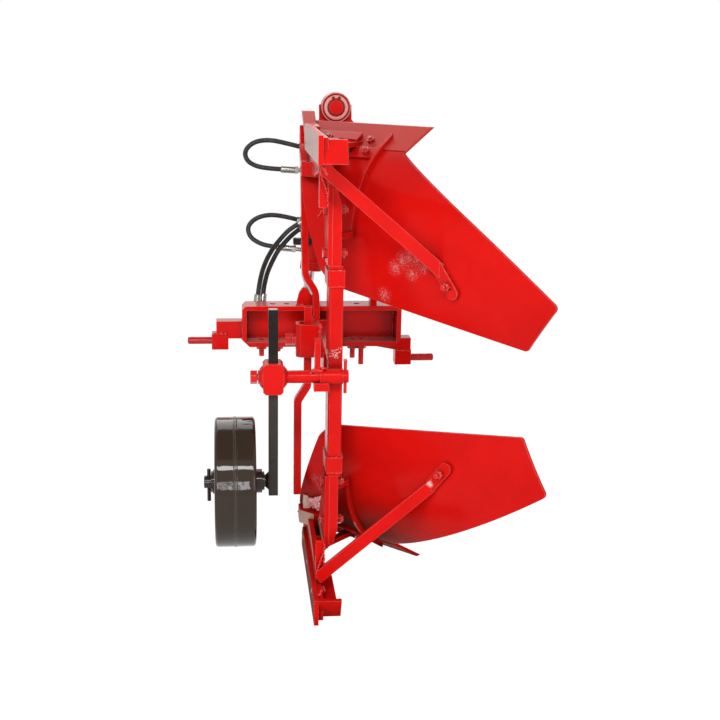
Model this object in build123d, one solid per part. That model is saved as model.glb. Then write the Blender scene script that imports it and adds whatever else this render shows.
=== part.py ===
from build123d import *
import os
from math import asin, atan2, cos, degrees, hypot, pi, radians, sin, tan

# Single-furrow reversible plough. Millimetres, +X to the right, +Y forward, +Z up.
# x = 0 is the furrow wall, y = 0 the heel of the landside, z = 0 the furrow bottom.
# The two bodies are mirror images about the level of the turnover axis.

# General clearances
SEAT_GAP = 0.3          # between pieces of different bodies that face each other
RUNNING_GAP = 0.05      # radial, shafts in their bushes
HOLE_GAP = 0.2          # radial, bolts in their holes
SLIDE_GAP = 0.3         # each side, bars in their sockets

# Turnover axis
AXIS_X = 65.0
AXIS_Z = 635.0

# Share and mouldboard: a cylinder with level generators
EDGE_ANGLE = 45.0       # cutting edge to the direction of travel
NOSE_Y = 787.0          # cutting edge carried to the furrow wall
SHARE_SLOPE = 33.0
SHARE_RISE = 69.0       # height of the joint between share and mouldboard
SHARE_THICK = 10.0
BOARD_THICK = 7.0
LOWER_RADIUS = 260.0    # working face, lower arc
LOWER_TURN = 42.0
UPPER_RADIUS = 520.0    # working face, upper arc
UPPER_TURN = 38.0
WING_T = -57.0          # along the generators, zero abreast of the furrow wall's origin
JOINT_T = -76.0
TAIL_LOW = (490.0, 394.0)
TAIL_TOP = (396.0, 523.0)
LOWER_EDGE_MID = (205.0, 209.0)
BOARD_TOP_LEFT = (-185.0, 438.0)
SHIN_BEND = (-225.0, 424.0)     # on the round between the top edge and the shin
SHIN_TOP = (-262.0, 390.0)
SHIN_MID = (-312.0, 275.0)
SHIN_LOW = (-394.0, 112.0)
TAIL_CORNER = 13.0

# Bar point, set in its seat
POINT_LEFT = 8.0
POINT_WIDTH = 36.0
POINT_THICK = 22.0
POINT_TIP_Y = 804.0
POINT_RISE = 85.0       # height of the top face gained from tip to rear
POINT_TIP_EDGE = 3.0
POINT_REAR_GAP = 5.0    # between the landside's front and the bar
UPPER_POINT_SET = 25.0  # the upper bar's tip beyond the sole
SHARE_SIDE_GAP = 2.0

# Landside and heel
LANDSIDE_LENGTH = 535.0
LANDSIDE_HEIGHT = 70.0
LANDSIDE_THICK = 12.0
LANDSIDE_NOSE = 30.0
LANDSIDE_BOLT_Y = (110.0, 300.0)
LANDSIDE_BOLT_END = 55.0        # from the landside's front to its foremost bolt
LANDSIDE_BOLT_Z = 48.0
LANDSIDE_BOLT_R = 7.0
HEEL_WIDTH = 61.0
HEEL_LOW_Z = 11.0
HEEL_TOP_Z = 68.0
HEEL_LEAN = 29.0
HEEL_THICK = 16.0
SOLE_Z = (20.0, 32.0)   # short plate between the heel and the brace
SOLE_RIGHT = 67.0
SOLE_FRONT = 240.0

# Standard, its legs and collars
STANDARD_WIDTH = 38.0
STANDARD_DEPTH = 85.0
STANDARD_REAR = 190.0
STANDARD_HALF = 290.0
STANDARD_CHAMFER = 4.0
LEG_WIDTH = 24.0
LEG_DEPTH = 80.0
LEG_REACH = 200.0
LEG_TAPER = (14.0, 45.0)        # width and height cut from the right of each foot
COLLAR_WALL = 5.0
COLLAR_HEIGHT = 42.0
COLLAR_RISE = 256.0     # from the axis to the middle of each collar
LEG_BOLT_R = 8.0
LEG_BOLT_DROP = (27.0, 140.0)   # below the end of the thick standard

# Frog
FROG_PLATE = 12.0
FROG_BAR = 14.0         # bar behind the landside
FROG_BAR_Z = (6.0, 66.0)
FROG_REAR = 18.0
BRACKET_Y = 122.0       # rear edge of the wall that carries the brace
WALL_LOW_Z = 21.0
WALL_TOP = [(122.0, 95.0), (300.0, 125.0), (430.0, 125.0), (505.0, 95.0)]
BRACKET_RIGHT = 34.0
BRACKET_THICK = 12.0
BRACKET_TOP = 186.0
CHEEK_DROP = 8.0        # below the leg's foot
CHEEK_SHOULDER = (30.0, 260.0)
CHEEK_NOSE = [(415.0, 135.0), (490.0, 112.0), (500.0, 36.0), (470.0, 36.0), (375.0, 44.0)]
REAR_TIE_Y = (296.0, 308.0)
REAR_TIE_Z = (110.0, 124.0)
FRONT_TIE_Y = (440.0, 452.0)
FRONT_TIE_Z = (52.0, 101.0)
HIGH_TIE_Z = (274.0, 288.0)
HIGH_TIE_END = [(119.0, 316.0), (105.0, 331.0)]
RIB_T = -152.0
RIB_THICK = 9.0
RIB_DEPTH = 14.0
RIB_TURN = 8.0
RIB_END_S = 487.0
STRIP_THICK = 8.0
STRIP_TURN = 9.0
STRIP_T = (-275.0, -150.0)
ARM_T = (-260.0, -236.0)
ARM_START_S = 312.0
ARM_END_S = 467.0
ARM_Z = (46.0, 60.0)
TABLE_THICK = 12.0
TABLE_S = (455.0, 482.0)
TABLE_END_T = -250.0
TOE_START = 30.0        # behind the bar point's rear end
TOE_END_Y = 650.0
SADDLE_Z = (100.0, 140.0)
SADDLE_REAR = [(28.0, 430.0), (74.0, 430.0), (74.0, 446.0)]
SADDLE_FRONT = [(18.0, 502.0), (-12.0, 520.0), (-12.0, 468.0)]

# Brace
BRACE_WIDTH = 34.0
BRACE_THICK = 10.0
BRACE_FOOT = (15.0, 81.0)
BRACE_FOOT_CUT = 13.0
BRACE_BEND = (327.0, 345.0)
BRACE_TAB = 68.0
BRACE_TAB_DIR = (42.0, 53.0)
BRACE_BOLT_AT = 47.0    # from the bend, along the tab
BRACE_SLOT = 24.0

# Plough bolts
PLOUGH_BOLT_R = 6.0
PLOUGH_NUT = 19.0
SHARE_BOLTS = [(-345.0, 463.0), (-209.0, 475.0)]
BOARD_BOLT_T = -189.0
BOARD_BOLT_TURN = 5.0   # above the joint, round the lower arc

# Main beam and turnover shaft
BEAM_WIDTH = 50.0
BEAM_HEIGHT = 80.0
BEAM_WALL = 8.0
FLANGE_R = 58.0
FLANGE_THICK = 16.0
HOUSING_REAR = 604.0
HOUSING_FRONT = 850.0
HOUSING_R = 50.0
SHAFT_R = 30.0
BUSH_WALL = 5.0
BUSH_LENGTH = 45.0
CRANK_RADIUS = 40.0
CRANK_THICK = 30.0
CRANK_HUB_R = 48.0
CRANK_EYE_R = 30.0

# Wheel arm
BOSS_R = 21.0
BOSS_X = (21.0, 82.0)
LUG_HALF = 14.0
LUG_HEIGHT = 104.0
LUG_CORNER = (6.0, 10.0)
LUG_THICK = 14.0
STOP_X = (16.0, 24.0)
STOP_Y = (20.0, 18.0)
STOP_Z = (36.0, 14.0)
CROSS_SHAFT_R = 17.0
CROSS_SHAFT_END = 97.0
SHAFT_PIN_X = 89.0
SHAFT_PIN_R = 4.5
SHAFT_PIN_HALF = 46.0
SHAFT_PIN_BAR = 16.0
SHAFT_PIN_HEAD = 6.0
CLAMP_X = (-128.0, -75.0)
CLAMP_HEIGHT = 82.0
CLAMP_DEPTH = 62.0
CLAMP_CHAMFER = 7.0
WHEEL_BAR = 25.0
WHEEL_BAR_X = -101.0
WHEEL_BAR_TOP = 817.0
WHEEL_BAR_BOTTOM = 308.0
WHEEL_Z = 347.0
WHEEL_R = 173.0
WHEEL_WIDTH = 107.0
WHEEL_X = -202.0
WHEEL_WALL = 6.0
WHEEL_EDGE_R = 9.0
WHEEL_SEAM = 1.2
AXLE_R = 17.0
AXLE_COLLAR = 6.0
AXLE_FLARE = 8.0
COTTER_R = 5.0
COTTER_REACH = (53.0, 36.0)
AXLE_END = -285.0
HUB_R = 32.0
HUB_X = (-262.0, -131.0)
HUB_BUSH_WALL = 5.0
HUB_BUSH_LENGTH = 34.0

# Parking stand
STAND_X = 8.0
STAND_Y = 450.0
STAND_HALF = 11.0
STAND_TOP = 765.0
STAND_BEND_Z = (532.0, 487.0)
STAND_FOOT_X = -20.0
STAND_FOOT = 200.0
SOCKET_X = (-26.0, 40.0)
SOCKET_Z = (621.0, 716.0)
SOCKET_DEPTH = 56.0
SOCKET_WALL = 11.0      # left of the hole, which is longer than the bar
SCREW_R = 9.0
STAND_SCREW_Z = 668.0

# Headstock
TRAY_X = (-177.0, 304.0)
TRAY_Z = (603.0, 728.0)
TRAY_Y = (625.0, 705.0)
TRAY_PLATE = 14.0
TRAY_CORNER = 22.0
TRAY_HOLE_R = 9.0
TRAY_HOLES_X = (-84.0, -42.0, -2.0, 170.0)
STRAP_WIDTH = 20.0
STRAP_DEPTH = 40.0
STRAP_FOOT_Y = 626.0    # middle of the straps at the reference height
STRAP_REF_Z = 690.0
STRAP_LEFT_X = 13.0
STRAP_KNEES_Z = (763.0, 810.0)
STRAP_KNEE_R = 60.0
STRAP_FOOT_X = 44.5
STRAP_CUT_Z = 652.0
STRAP_TOP_DROP = 59.0   # below the eye
RIGHT_TOP_DROP = 84.0
GUSSET_Y = (640.0, 652.0)
GUSSET = [(-13.0, 12.0), (-6.0, 39.0), (4.0, 53.0), (14.0, 53.0), (45.0, 12.0)]     # above the tray
EYE_X = 115.0
EYE_Z = 1304.0
EYE_R = 45.0
BOSS_GROOVE = (38.5, 41.5)      # turned in the boss's rear face
GROOVE_DEPTH = 4.0
HEAD_Y = (828.0, 880.0)
HEAD_SEAT_Y = 837.4     # middle of the straps' line at the eye
HEAD_PLATE = 16.0
HEAD_BASE_DROP = 139.0
HEAD_HALF = 50.0
PIVOT_R = 22.0
CIRCLIP_R = 26.0
LINK_PIN_R = 11.0
LINK_PIN_LENGTH = 72.0
LINK_ROOT_R = 13.0
LINK_Y = 668.0
LEFT_SHOULDER = -268.0
LEFT_PIN_Z = 615.0
RIGHT_SHOULDER = 340.0
RIGHT_PIN_Z = 557.0
ARM_DEPTH = 44.0
LEFT_ARM_Z = (625.0, 678.0)
RIGHT_ARM_X = 203.0
RIGHT_ARM_Z = (582.0, 623.0)
TRAY_BOLTS = [(-118.0, 566.0), (-68.0, 580.0), (160.0, 558.0), (187.0, 537.0)]      # place and foot
TRAY_BOLT_R = 8.0
TRAY_NUT = (27.0, 15.0)
TOP_LINK_X = 100.0
TOP_LINK_DROP = 264.0   # below the eye
TOP_LINK_BORE_R = 9.75
TOP_LINK_GAP = 46.0
TOP_LINK_EAR = 14.0
TOP_LINK_HALF = 24.0
TOP_LINK_BAR = 24.0
TOP_LINK_REACH = 48.0

# Turnover cylinder
CYL_Y = 905.0
BARREL_R = 32.0
BARREL_BORE = 25.0
BARREL_START = 48.0     # from the pivot, along the cylinder
ROD_OUT = 180.0         # from the barrel's end to the rod's eye at rest
GLAND_R = 35.0
GLAND_LENGTH = 26.0
ROD_R = 15.0
PISTON_AT = 330.0
PISTON_LENGTH = 28.0
CYL_EYE_R = 38.0
CYL_EYE_WIDTH = 40.0
ROD_EYE_R = 32.0
CRANK_PIN_R = 14.0
VALVE_X = (-12.0, 46.0)
VALVE_Y = (862.0, 888.0)
VALVE_Z = (876.0, 896.0)

# Hoses: routes chosen by hand
HOSE_R = 7.5
FERRULE_R = 10.5
LOOP_UPPER = [(16, 905, 1178), (-38, 907, 1191), (-88, 909, 1200), (-134, 910, 1193), (-163, 909, 1166),
              (-158, 907, 1136), (-130, 906, 1118), (-88, 905, 1111), (-46, 905, 1109)]
LOOP_LOWER = [(6, 914, 949), (-40, 912, 961), (-88, 910, 966), (-130, 907, 955), (-156, 904, 928),
              (-149, 899, 897), (-122, 895, 878), (-90, 892, 868), (-50, 890, 864)]
SUPPLY_LEFT = [(7, 886, 941), (-22, 884, 924), (-47, 876, 899), (-70, 860, 875), (-93, 837, 843),
               (-109, 811, 811), (-119, 784, 778), (-124, 766, 752), (-127, 756, 732)]
SUPPLY_RIGHT = [(11, 905, 921), (-14, 893, 905), (-37, 874, 884), (-60, 860, 860), (-79, 845, 827),
                (-95, 826, 795), (-103, 803, 770), (-108, 787, 750), (-110, 779, 731)]
LOOP_FERRULES = (22.0, 40.0, 10.0, 36.0)
SUPPLY_FERRULE = 10.0
NIPPLE_R = 7.0
NIPPLE_REACH = 76.0     # beyond the ferrule, into the barrel's wall
COUPLERS = [(-130.0, 745.0), (-112.0, 768.0)]
COUPLER_R = 11.0
COUPLER_NUT = 22.0
BRACKET_Z = (686.0, 694.0)
BRACKET_EDGE = 22.0

edge = radians(EDGE_ANGLE)
slope = radians(SHARE_SLOPE)
GENERATOR = Vector(sin(edge), -cos(edge), 0)
ACROSS = Vector(cos(edge), sin(edge), 0)
EDGE_S = NOSE_Y * sin(edge)
JOINT_S = EDGE_S - SHARE_RISE / tan(slope)
BOSS_Y = STANDARD_REAR - 25.0
POINT_REAR_Y = LANDSIDE_LENGTH + POINT_REAR_GAP
POINT_X = (POINT_LEFT, POINT_LEFT + POINT_WIDTH)
STRAP_TOP = EYE_Z - STRAP_TOP_DROP
RIGHT_STRAP_TOP = EYE_Z - RIGHT_TOP_DROP
HEAD_BASE_Z = EYE_Z - HEAD_BASE_DROP
TOP_LINK_Z = EYE_Z - TOP_LINK_DROP
STRAP_LEAN = degrees(atan2(HEAD_SEAT_Y - STRAP_FOOT_Y, EYE_Z - STRAP_REF_Z))
LEG_TOP = AXIS_Z - STANDARD_HALF
LEG_FOOT = LEG_TOP - LEG_REACH
LEG_X = (AXIS_X - LEG_WIDTH / 2, AXIS_X + LEG_WIDTH / 2)
LEG_Y = (STANDARD_REAR + (STANDARD_DEPTH - LEG_DEPTH) / 2, STANDARD_REAR + (STANDARD_DEPTH + LEG_DEPTH) / 2)
STANDARD_FRONT = STANDARD_REAR + STANDARD_DEPTH
CHEEK_X = (LEG_X[0] - FROG_PLATE, LEG_X[0])
BAR_X = (LANDSIDE_THICK, LANDSIDE_THICK + FROG_BAR)


def span(x, y, z):
    """A block between two x, two y and two z values."""
    size = (x[1] - x[0], y[1] - y[0], z[1] - z[0])
    return Pos((x[0] + x[1]) / 2, (y[0] + y[1]) / 2, (z[0] + z[1]) / 2) * Box(*size)


def rod_x(radius, x, y, z):
    return Pos((x[0] + x[1]) / 2, y, z) * Rot(0, 90, 0) * Cylinder(radius, x[1] - x[0])


def rod_y(radius, y, x, z):
    return Pos(x, (y[0] + y[1]) / 2, z) * Rot(90, 0, 0) * Cylinder(radius, y[1] - y[0])


def rod_z(radius, z, x, y):
    return Pos(x, y, (z[0] + z[1]) / 2) * Cylinder(radius, z[1] - z[0])


def side_plate(points, x):
    """A plate cut to an outline of (y, z) points, between two x values."""
    plane = Plane(origin=(x[0], 0, 0), x_dir=(0, 1, 0), z_dir=(1, 0, 0))
    return extrude(plane * make_face(Polyline(*points, close=True)), x[1] - x[0])


def face_plate(points, y):
    """A plate cut to an outline of (x, z) points, between two y values."""
    plane = Plane(origin=(0, y[1], 0), x_dir=(1, 0, 0), z_dir=(0, -1, 0))
    return extrude(plane * make_face(Polyline(*points, close=True)), y[1] - y[0])


def floor_plate(points, z):
    """A plate cut to an outline of (x, y) points, between two z values."""
    return extrude(Plane.XY.offset(z[0]) * make_face(Polyline(*points, close=True)), z[1] - z[0])


def along_generators(face, t):
    """A (s, z) face drawn out along the generators between two t values."""
    plane = Plane(origin=GENERATOR * t[0], x_dir=ACROSS, z_dir=GENERATOR)
    return extrude(plane * face, t[1] - t[0])


def through_board(face, s):
    """A (t, z) face drawn through the board between two s values."""
    plane = Plane(origin=ACROSS * s[1], x_dir=GENERATOR, z_dir=-ACROSS)
    return extrude(plane * face, s[1] - s[0])


def on_board(s, t, z):
    return ACROSS * s + GENERATOR * t + Vector(0, 0, z)


def flipped(solid):
    return mirror(solid, about=Plane.XY.offset(AXIS_Z))


def hexagon(across_flats, length, plane):
    return extrude(plane * RegularPolygon(across_flats / 2, 6, major_radius=False), length)


# Mouldboard and share

def board_arcs(gap, upper_turn):
    """The two tangent arcs of the board's section, moved back from the working face by gap."""
    start = (JOINT_S - gap * sin(slope), SHARE_RISE - gap * cos(slope))
    lower = JernArc(start, (-cos(slope), sin(slope)), LOWER_RADIUS + gap, -LOWER_TURN)
    upper = JernArc(lower @ 1, lower % 1, UPPER_RADIUS + gap, -upper_turn)
    return lower, upper


def board_band(near, far, upper_turn):
    low_a, high_a = board_arcs(near, upper_turn)
    low_b, high_b = board_arcs(far, upper_turn)
    top, foot = Line(high_a @ 1, high_b @ 1), Line(low_b @ 0, low_a @ 0)
    return make_face([low_a, high_a, top, high_b, low_b, foot])


def board_outline():
    foot_t = -JOINT_S / tan(edge)
    joint_left = (foot_t, 0)
    joint_right = (JOINT_T, 0)
    edges = [
        Line(joint_left, joint_right),
        Line(joint_right, (JOINT_T, SHARE_RISE)),
        ThreePointArc((JOINT_T, SHARE_RISE), LOWER_EDGE_MID, TAIL_LOW),
        Line(TAIL_LOW, TAIL_TOP),
        Line(TAIL_TOP, BOARD_TOP_LEFT),
        ThreePointArc(BOARD_TOP_LEFT, SHIN_BEND, SHIN_TOP),
        ThreePointArc(SHIN_TOP, SHIN_MID, SHIN_LOW),
        Line(SHIN_LOW, (foot_t, SHARE_RISE)),
        Line((foot_t, SHARE_RISE), joint_left),
    ]
    face = make_face(edges)
    return fillet(face.vertices().sort_by(Axis.X)[-2:], TAIL_CORNER)


TAB_S = (JOINT_S - (LOWER_RADIUS + BOARD_THICK) * (sin(slope + radians(LOWER_TURN)) - sin(slope))
         - (UPPER_RADIUS + BOARD_THICK) * (1 - sin(slope + radians(LOWER_TURN))) - BOARD_THICK * sin(slope))
tab_unit = Vector(*BRACE_TAB_DIR).normalized()
TAB_START = ((BRACE_BEND[0] - TAB_S * cos(edge)) / sin(edge), BRACE_BEND[1])
BRACE_BOLT = (TAB_START[0] + tab_unit.X * BRACE_BOLT_AT, TAB_START[1] + tab_unit.Y * BRACE_BOLT_AT)


def brace_bolt_hole(gap):
    plane = Plane(origin=on_board(TAB_S - 60, BRACE_BOLT[0], BRACE_BOLT[1]), z_dir=ACROSS)
    return extrude(plane * Circle(PLOUGH_BOLT_R + gap), 120)


def working_plane(s, t, angle, depth, z):
    """On a working face whose normal leans by an angle, sunk by depth, looking out."""
    normal = ACROSS * sin(angle) + Vector(0, 0, cos(angle))
    return Plane(origin=on_board(s, t, z) - normal * depth, x_dir=GENERATOR, z_dir=normal)


def share_bolt_planes(depth):
    return [working_plane(s, t, slope, depth, (EDGE_S - s) * tan(slope)) for t, s in SHARE_BOLTS]


def board_bolt_plane(depth):
    """The mouldboard's lowest bolt, beside the joint."""
    angle = slope + radians(BOARD_BOLT_TURN)
    s = JOINT_S + LOWER_RADIUS * (sin(slope) - sin(angle))
    z = SHARE_RISE + LOWER_RADIUS * (cos(slope) - cos(angle))
    return working_plane(s, BOARD_BOLT_T, angle, depth, z)


def plough_bolt_holes():
    planes = [*share_bolt_planes(60), board_bolt_plane(60)]
    return [extrude(plane * Circle(PLOUGH_BOLT_R + HOLE_GAP), 80) for plane in planes]


def make_mouldboard():
    band = board_band(0, BOARD_THICK, UPPER_TURN)
    sheet = along_generators(band, (-JOINT_S - 20, TAIL_LOW[0] + 20))
    blank = sheet & through_board(board_outline(), (TAB_S - 120, JOINT_S + 40))
    return blank - brace_bolt_hole(HOLE_GAP) - make_point(0) - plough_bolt_holes()[-1]


def make_share():
    under = EDGE_S - SHARE_THICK / sin(slope)
    section = make_face(Polyline(
        (EDGE_S, 0), (JOINT_S, SHARE_RISE),
        (JOINT_S - SHARE_THICK * sin(slope), SHARE_RISE - SHARE_THICK * cos(slope)), (under, 0), close=True))
    outline = make_face(Polyline((-EDGE_S, -1), (WING_T, -1), (WING_T, 0), (JOINT_T, SHARE_RISE + 1),
                                 (-EDGE_S, SHARE_RISE + 1), close=True))
    blade = along_generators(section, (-EDGE_S, WING_T + 20))
    blade = blade & through_board(outline, (JOINT_S - 60, EDGE_S + 20))
    blade -= span((-200, POINT_X[1] + SHARE_SIDE_GAP), (0, 2 * NOSE_Y), (-10, 2 * SHARE_RISE))
    for hole in plough_bolt_holes()[:-1]:
        blade -= hole
    return blade


def point_slope(drop):
    return (POINT_RISE + drop) / (POINT_TIP_Y - POINT_REAR_Y)


def point_under(y, drop):
    """Height of the bar's underside at y, with its tip set below the sole by drop."""
    deep = POINT_THICK * hypot(1, point_slope(drop))
    return POINT_TIP_EDGE - drop + (POINT_TIP_Y - y) * point_slope(drop) - deep


def make_point(drop):
    ground_y = POINT_TIP_Y + (point_under(POINT_TIP_Y, drop) + drop) / point_slope(drop)
    outline = [(POINT_TIP_Y, -drop), (POINT_TIP_Y, POINT_TIP_EDGE - drop),
               (POINT_REAR_Y, POINT_TIP_EDGE + POINT_RISE), (POINT_REAR_Y, point_under(POINT_REAR_Y, drop)),
               (ground_y, -drop)]
    return side_plate(outline, POINT_X)


# Landside and heel

def landside_bolts_y():
    return [*LANDSIDE_BOLT_Y, LANDSIDE_LENGTH - LANDSIDE_BOLT_END]


def landside_bolt_holes(radius):
    reach = (-1, BAR_X[1] + 1)
    return [rod_x(radius, reach, y, LANDSIDE_BOLT_Z) for y in landside_bolts_y()]


def make_landside():
    outline = [(0, 0), (LANDSIDE_LENGTH, 0), (LANDSIDE_LENGTH, LANDSIDE_HEIGHT - LANDSIDE_NOSE),
               (LANDSIDE_LENGTH - LANDSIDE_NOSE, LANDSIDE_HEIGHT), (0, LANDSIDE_HEIGHT)]
    plate = side_plate(outline, (0, LANDSIDE_THICK))
    for hole in landside_bolt_holes(LANDSIDE_BOLT_R + HOLE_GAP):
        plate -= hole
    return plate


def make_heel():
    outline = [(0, HEEL_TOP_Z), (HEEL_LEAN, HEEL_LOW_Z), (HEEL_LEAN + HEEL_THICK, HEEL_LOW_Z),
               (HEEL_THICK, HEEL_TOP_Z)]
    return side_plate(outline, (LANDSIDE_THICK, LANDSIDE_THICK + HEEL_WIDTH))


# Frog: the welded bracket between leg, landside, share and mouldboard

def leg_bolt_places():
    middle = (LEG_Y[0] + LEG_Y[1]) / 2
    return [(middle, LEG_TOP - drop) for drop in LEG_BOLT_DROP]


def low_band(near, far, turn):
    """The start of the board's lower arc, between two depths behind the working face."""
    arcs = []
    for gap in (near, far):
        start = (JOINT_S - gap * sin(slope), SHARE_RISE - gap * cos(slope))
        arcs.append(JernArc(start, (-cos(slope), sin(slope)), LOWER_RADIUS + gap, -turn))
    a, b = arcs
    return make_face([a, Line(a @ 1, b @ 1), b, Line(b @ 0, a @ 0)])


def under_share(start, end, depth, square_start):
    """A (s, z) strip along the share's underside. Its start may follow the square end of the share."""
    back = start - depth * sin(slope) if square_start else start
    places = [(start, 0), (end, 0), (end, depth), (back, depth)]
    return make_face(Polyline(*[(s, table_z(s, down)) for s, down in places], close=True))


def make_frog(drop):
    bar = span(BAR_X, (FROG_REAR, POINT_REAR_Y - 2), FROG_BAR_Z) + make_heel()
    bar += span((BAR_X[1] - 1, SOLE_RIGHT), (HEEL_LEAN + 2, SOLE_FRONT), SOLE_Z)
    bracket_y = (BRACKET_Y, BRACKET_Y + BRACKET_THICK)
    bar += span((BAR_X[0], BRACKET_RIGHT), bracket_y, (FROG_BAR_Z[1], BRACKET_TOP))
    front_y = WALL_TOP[-1][0]
    wall = side_plate([(BRACKET_Y, WALL_LOW_Z), *WALL_TOP, (front_y, WALL_LOW_Z)], BAR_X)
    shoulder = (LEG_Y[1] + CHEEK_SHOULDER[0], CHEEK_SHOULDER[1])
    leg_side = [(LEG_Y[0], LEG_FOOT - CHEEK_DROP), (LEG_Y[0], LEG_TOP), (LEG_Y[1], LEG_TOP)]
    cheek = side_plate([*leg_side, shoulder, *CHEEK_NOSE], CHEEK_X)
    between = (BAR_X[1] - 1, CHEEK_X[0] + 1)
    ties = span(between, REAR_TIE_Y, REAR_TIE_Z) + span(between, FRONT_TIE_Y, FRONT_TIE_Z)
    high_tie = floor_plate([(CHEEK_X[1] - 2, LEG_Y[1]), (LEG_X[1], LEG_Y[1]), *HIGH_TIE_END,
                            (CHEEK_X[1] - 2, LEG_Y[1] + HIGH_TIE_Z[1] - HIGH_TIE_Z[0])], HIGH_TIE_Z)
    rib_t = (RIB_T - RIB_THICK / 2, RIB_T + RIB_THICK / 2)
    rib = along_generators(board_band(BOARD_THICK, BOARD_THICK + RIB_DEPTH, RIB_TURN), rib_t)
    rib_depth = BOARD_THICK + RIB_DEPTH - SHARE_THICK
    share_back = JOINT_S - SHARE_THICK * sin(slope)
    rib += along_generators(under_share(share_back, RIB_END_S, rib_depth, True), rib_t)
    strip = along_generators(low_band(BOARD_THICK, BOARD_THICK + STRIP_THICK, STRIP_TURN), STRIP_T)
    arm_face = make_face(Polyline(
        (ARM_START_S, ARM_Z[0]), (ARM_END_S - 2, ARM_Z[0]), (ARM_END_S, table_z(ARM_END_S, 0)),
        (share_back + 1, table_z(share_back + 1, 0)), (share_back - 5, ARM_Z[1]), (ARM_START_S, ARM_Z[1]),
        close=True))
    arm = along_generators(arm_face, ARM_T)
    table = along_generators(under_share(*TABLE_S, TABLE_THICK, False), (-TABLE_S[1], TABLE_END_T))
    table -= span((-300, POINT_X[1] + SHARE_SIDE_GAP), (0, 2 * NOSE_Y), (-100, 300))
    toe_y = POINT_REAR_Y - TOE_START
    seat = [(y, point_under(y, drop)) for y in (POINT_REAR_Y, TOE_END_Y)]
    toe_side = [(toe_y, FROG_BAR_Z[0]), (toe_y, FROG_BAR_Z[1] - 6), *seat, (TOE_END_Y + 8, FROG_BAR_Z[0])]
    toe = side_plate(toe_side, (LANDSIDE_THICK, POINT_X[1]))
    saddle = floor_plate([*SADDLE_REAR, *SADDLE_FRONT], SADDLE_Z)
    frog = bar + wall + cheek + ties + high_tie + rib + strip + arm + table + toe + saddle
    for hole in landside_bolt_holes(LANDSIDE_BOLT_R + HOLE_GAP):
        frog -= hole
    for y, z in leg_bolt_places():
        frog -= rod_x(LEG_BOLT_R + HOLE_GAP, (CHEEK_X[0] - 1, LEG_X[1] + 1), y, z)
    for hole in plough_bolt_holes():
        frog -= hole
    return frog


def table_z(s, depth):
    """Height of the share's underside at s, and of the table's underside with a depth."""
    top = (EDGE_S - s) * tan(slope)
    return top - (SHARE_THICK + depth) / cos(slope)


# Brace between the frog and the back of the mouldboard

def make_brace():
    foot = Vector(*BRACE_FOOT)
    bend = Vector(*BRACE_BEND)
    unit = (bend - foot).normalized()
    side = Vector(-unit.Y, unit.X) * (BRACE_WIDTH / 2)
    top = bend + unit * 8
    outline = [foot + side, top + side, top - side, foot - side]
    flat = face_plate([(p.X, p.Y) for p in outline], (BRACKET_Y - BRACE_THICK, BRACKET_Y))
    flat -= span((BRACE_FOOT_CUT - 60, BRACE_FOOT_CUT), (0, 2 * BRACKET_Y), (0, LEG_TOP))
    flat -= through_board(Pos(TAB_START[0], TAB_START[1]) * Rectangle(200, 200), (TAB_S - 1, TAB_S + 100))
    start = Vector(*TAB_START)
    aside = Vector(-tab_unit.Y, tab_unit.X) * (BRACE_WIDTH / 2)
    low = start - tab_unit * 14
    high = start + tab_unit * BRACE_TAB
    corners = (low + aside, high + aside, high - aside, low - aside)
    strip = make_face(Polyline(*[(p.X, p.Y) for p in corners], close=True))
    tab_face = strip + Pos(high.X, high.Y) * Circle(BRACE_WIDTH / 2)
    tab = through_board(tab_face, (TAB_S - BRACE_THICK, TAB_S))
    turn = degrees(atan2(tab_unit.Y, tab_unit.X))
    slot = SlotOverall(BRACE_SLOT, 2 * (PLOUGH_BOLT_R + HOLE_GAP))
    slot = Pos(BRACE_BOLT[0], BRACE_BOLT[1]) * Rot(0, 0, turn) * slot
    return flat + tab - through_board(slot, (TAB_S - 40, TAB_S + 1))


# Plough bolts: countersunk under the working face, nuts behind

def make_plough_bolts():
    behind = Plane(origin=on_board(TAB_S - BRACE_THICK, BRACE_BOLT[0], BRACE_BOLT[1]), z_dir=-ACROSS)
    shank = Plane(origin=on_board(TAB_S + BOARD_THICK, BRACE_BOLT[0], BRACE_BOLT[1]), z_dir=-ACROSS)
    length = BOARD_THICK + BRACE_THICK + 24
    bolts = [hexagon(PLOUGH_NUT, 11, behind) + extrude(shank * Circle(PLOUGH_BOLT_R), length)]
    near, far = share_bolt_planes(0)
    seats = [(near, SHARE_THICK + TABLE_THICK), (far, SHARE_THICK)]
    seats.append((board_bolt_plane(0), BOARD_THICK + STRIP_THICK))
    for face, depth in seats:
        down = Plane(origin=face.origin, x_dir=face.x_dir, z_dir=-face.z_dir)
        stem = extrude(down * Circle(PLOUGH_BOLT_R), depth + 16)
        bolts.append(stem + hexagon(PLOUGH_NUT, 10, down.offset(depth)))
    return Compound(bolts)


def make_leg_bolts():
    bolts = []
    for y, z in leg_bolt_places():
        head = Plane(origin=(CHEEK_X[0], y, z), z_dir=(-1, 0, 0))
        nut = Plane(origin=(LEG_X[1], y, z), z_dir=(1, 0, 0))
        shank = rod_x(LEG_BOLT_R, (CHEEK_X[0], LEG_X[1] + 19), y, z)
        bolts.append(shank + hexagon(24, 10, head) + hexagon(24, 13, nut))
    return Compound(bolts)


def make_landside_bolts():
    bolts = []
    for y in landside_bolts_y():
        nut = Plane(origin=(BAR_X[1], y, LANDSIDE_BOLT_Z), z_dir=(1, 0, 0))
        bolts.append(rod_x(LANDSIDE_BOLT_R, (0, BAR_X[1] + 12), y, LANDSIDE_BOLT_Z) + hexagon(21, 9, nut))
    return Compound(bolts)


# Turning frame: standard, collars, main beam, shaft and crank

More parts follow.
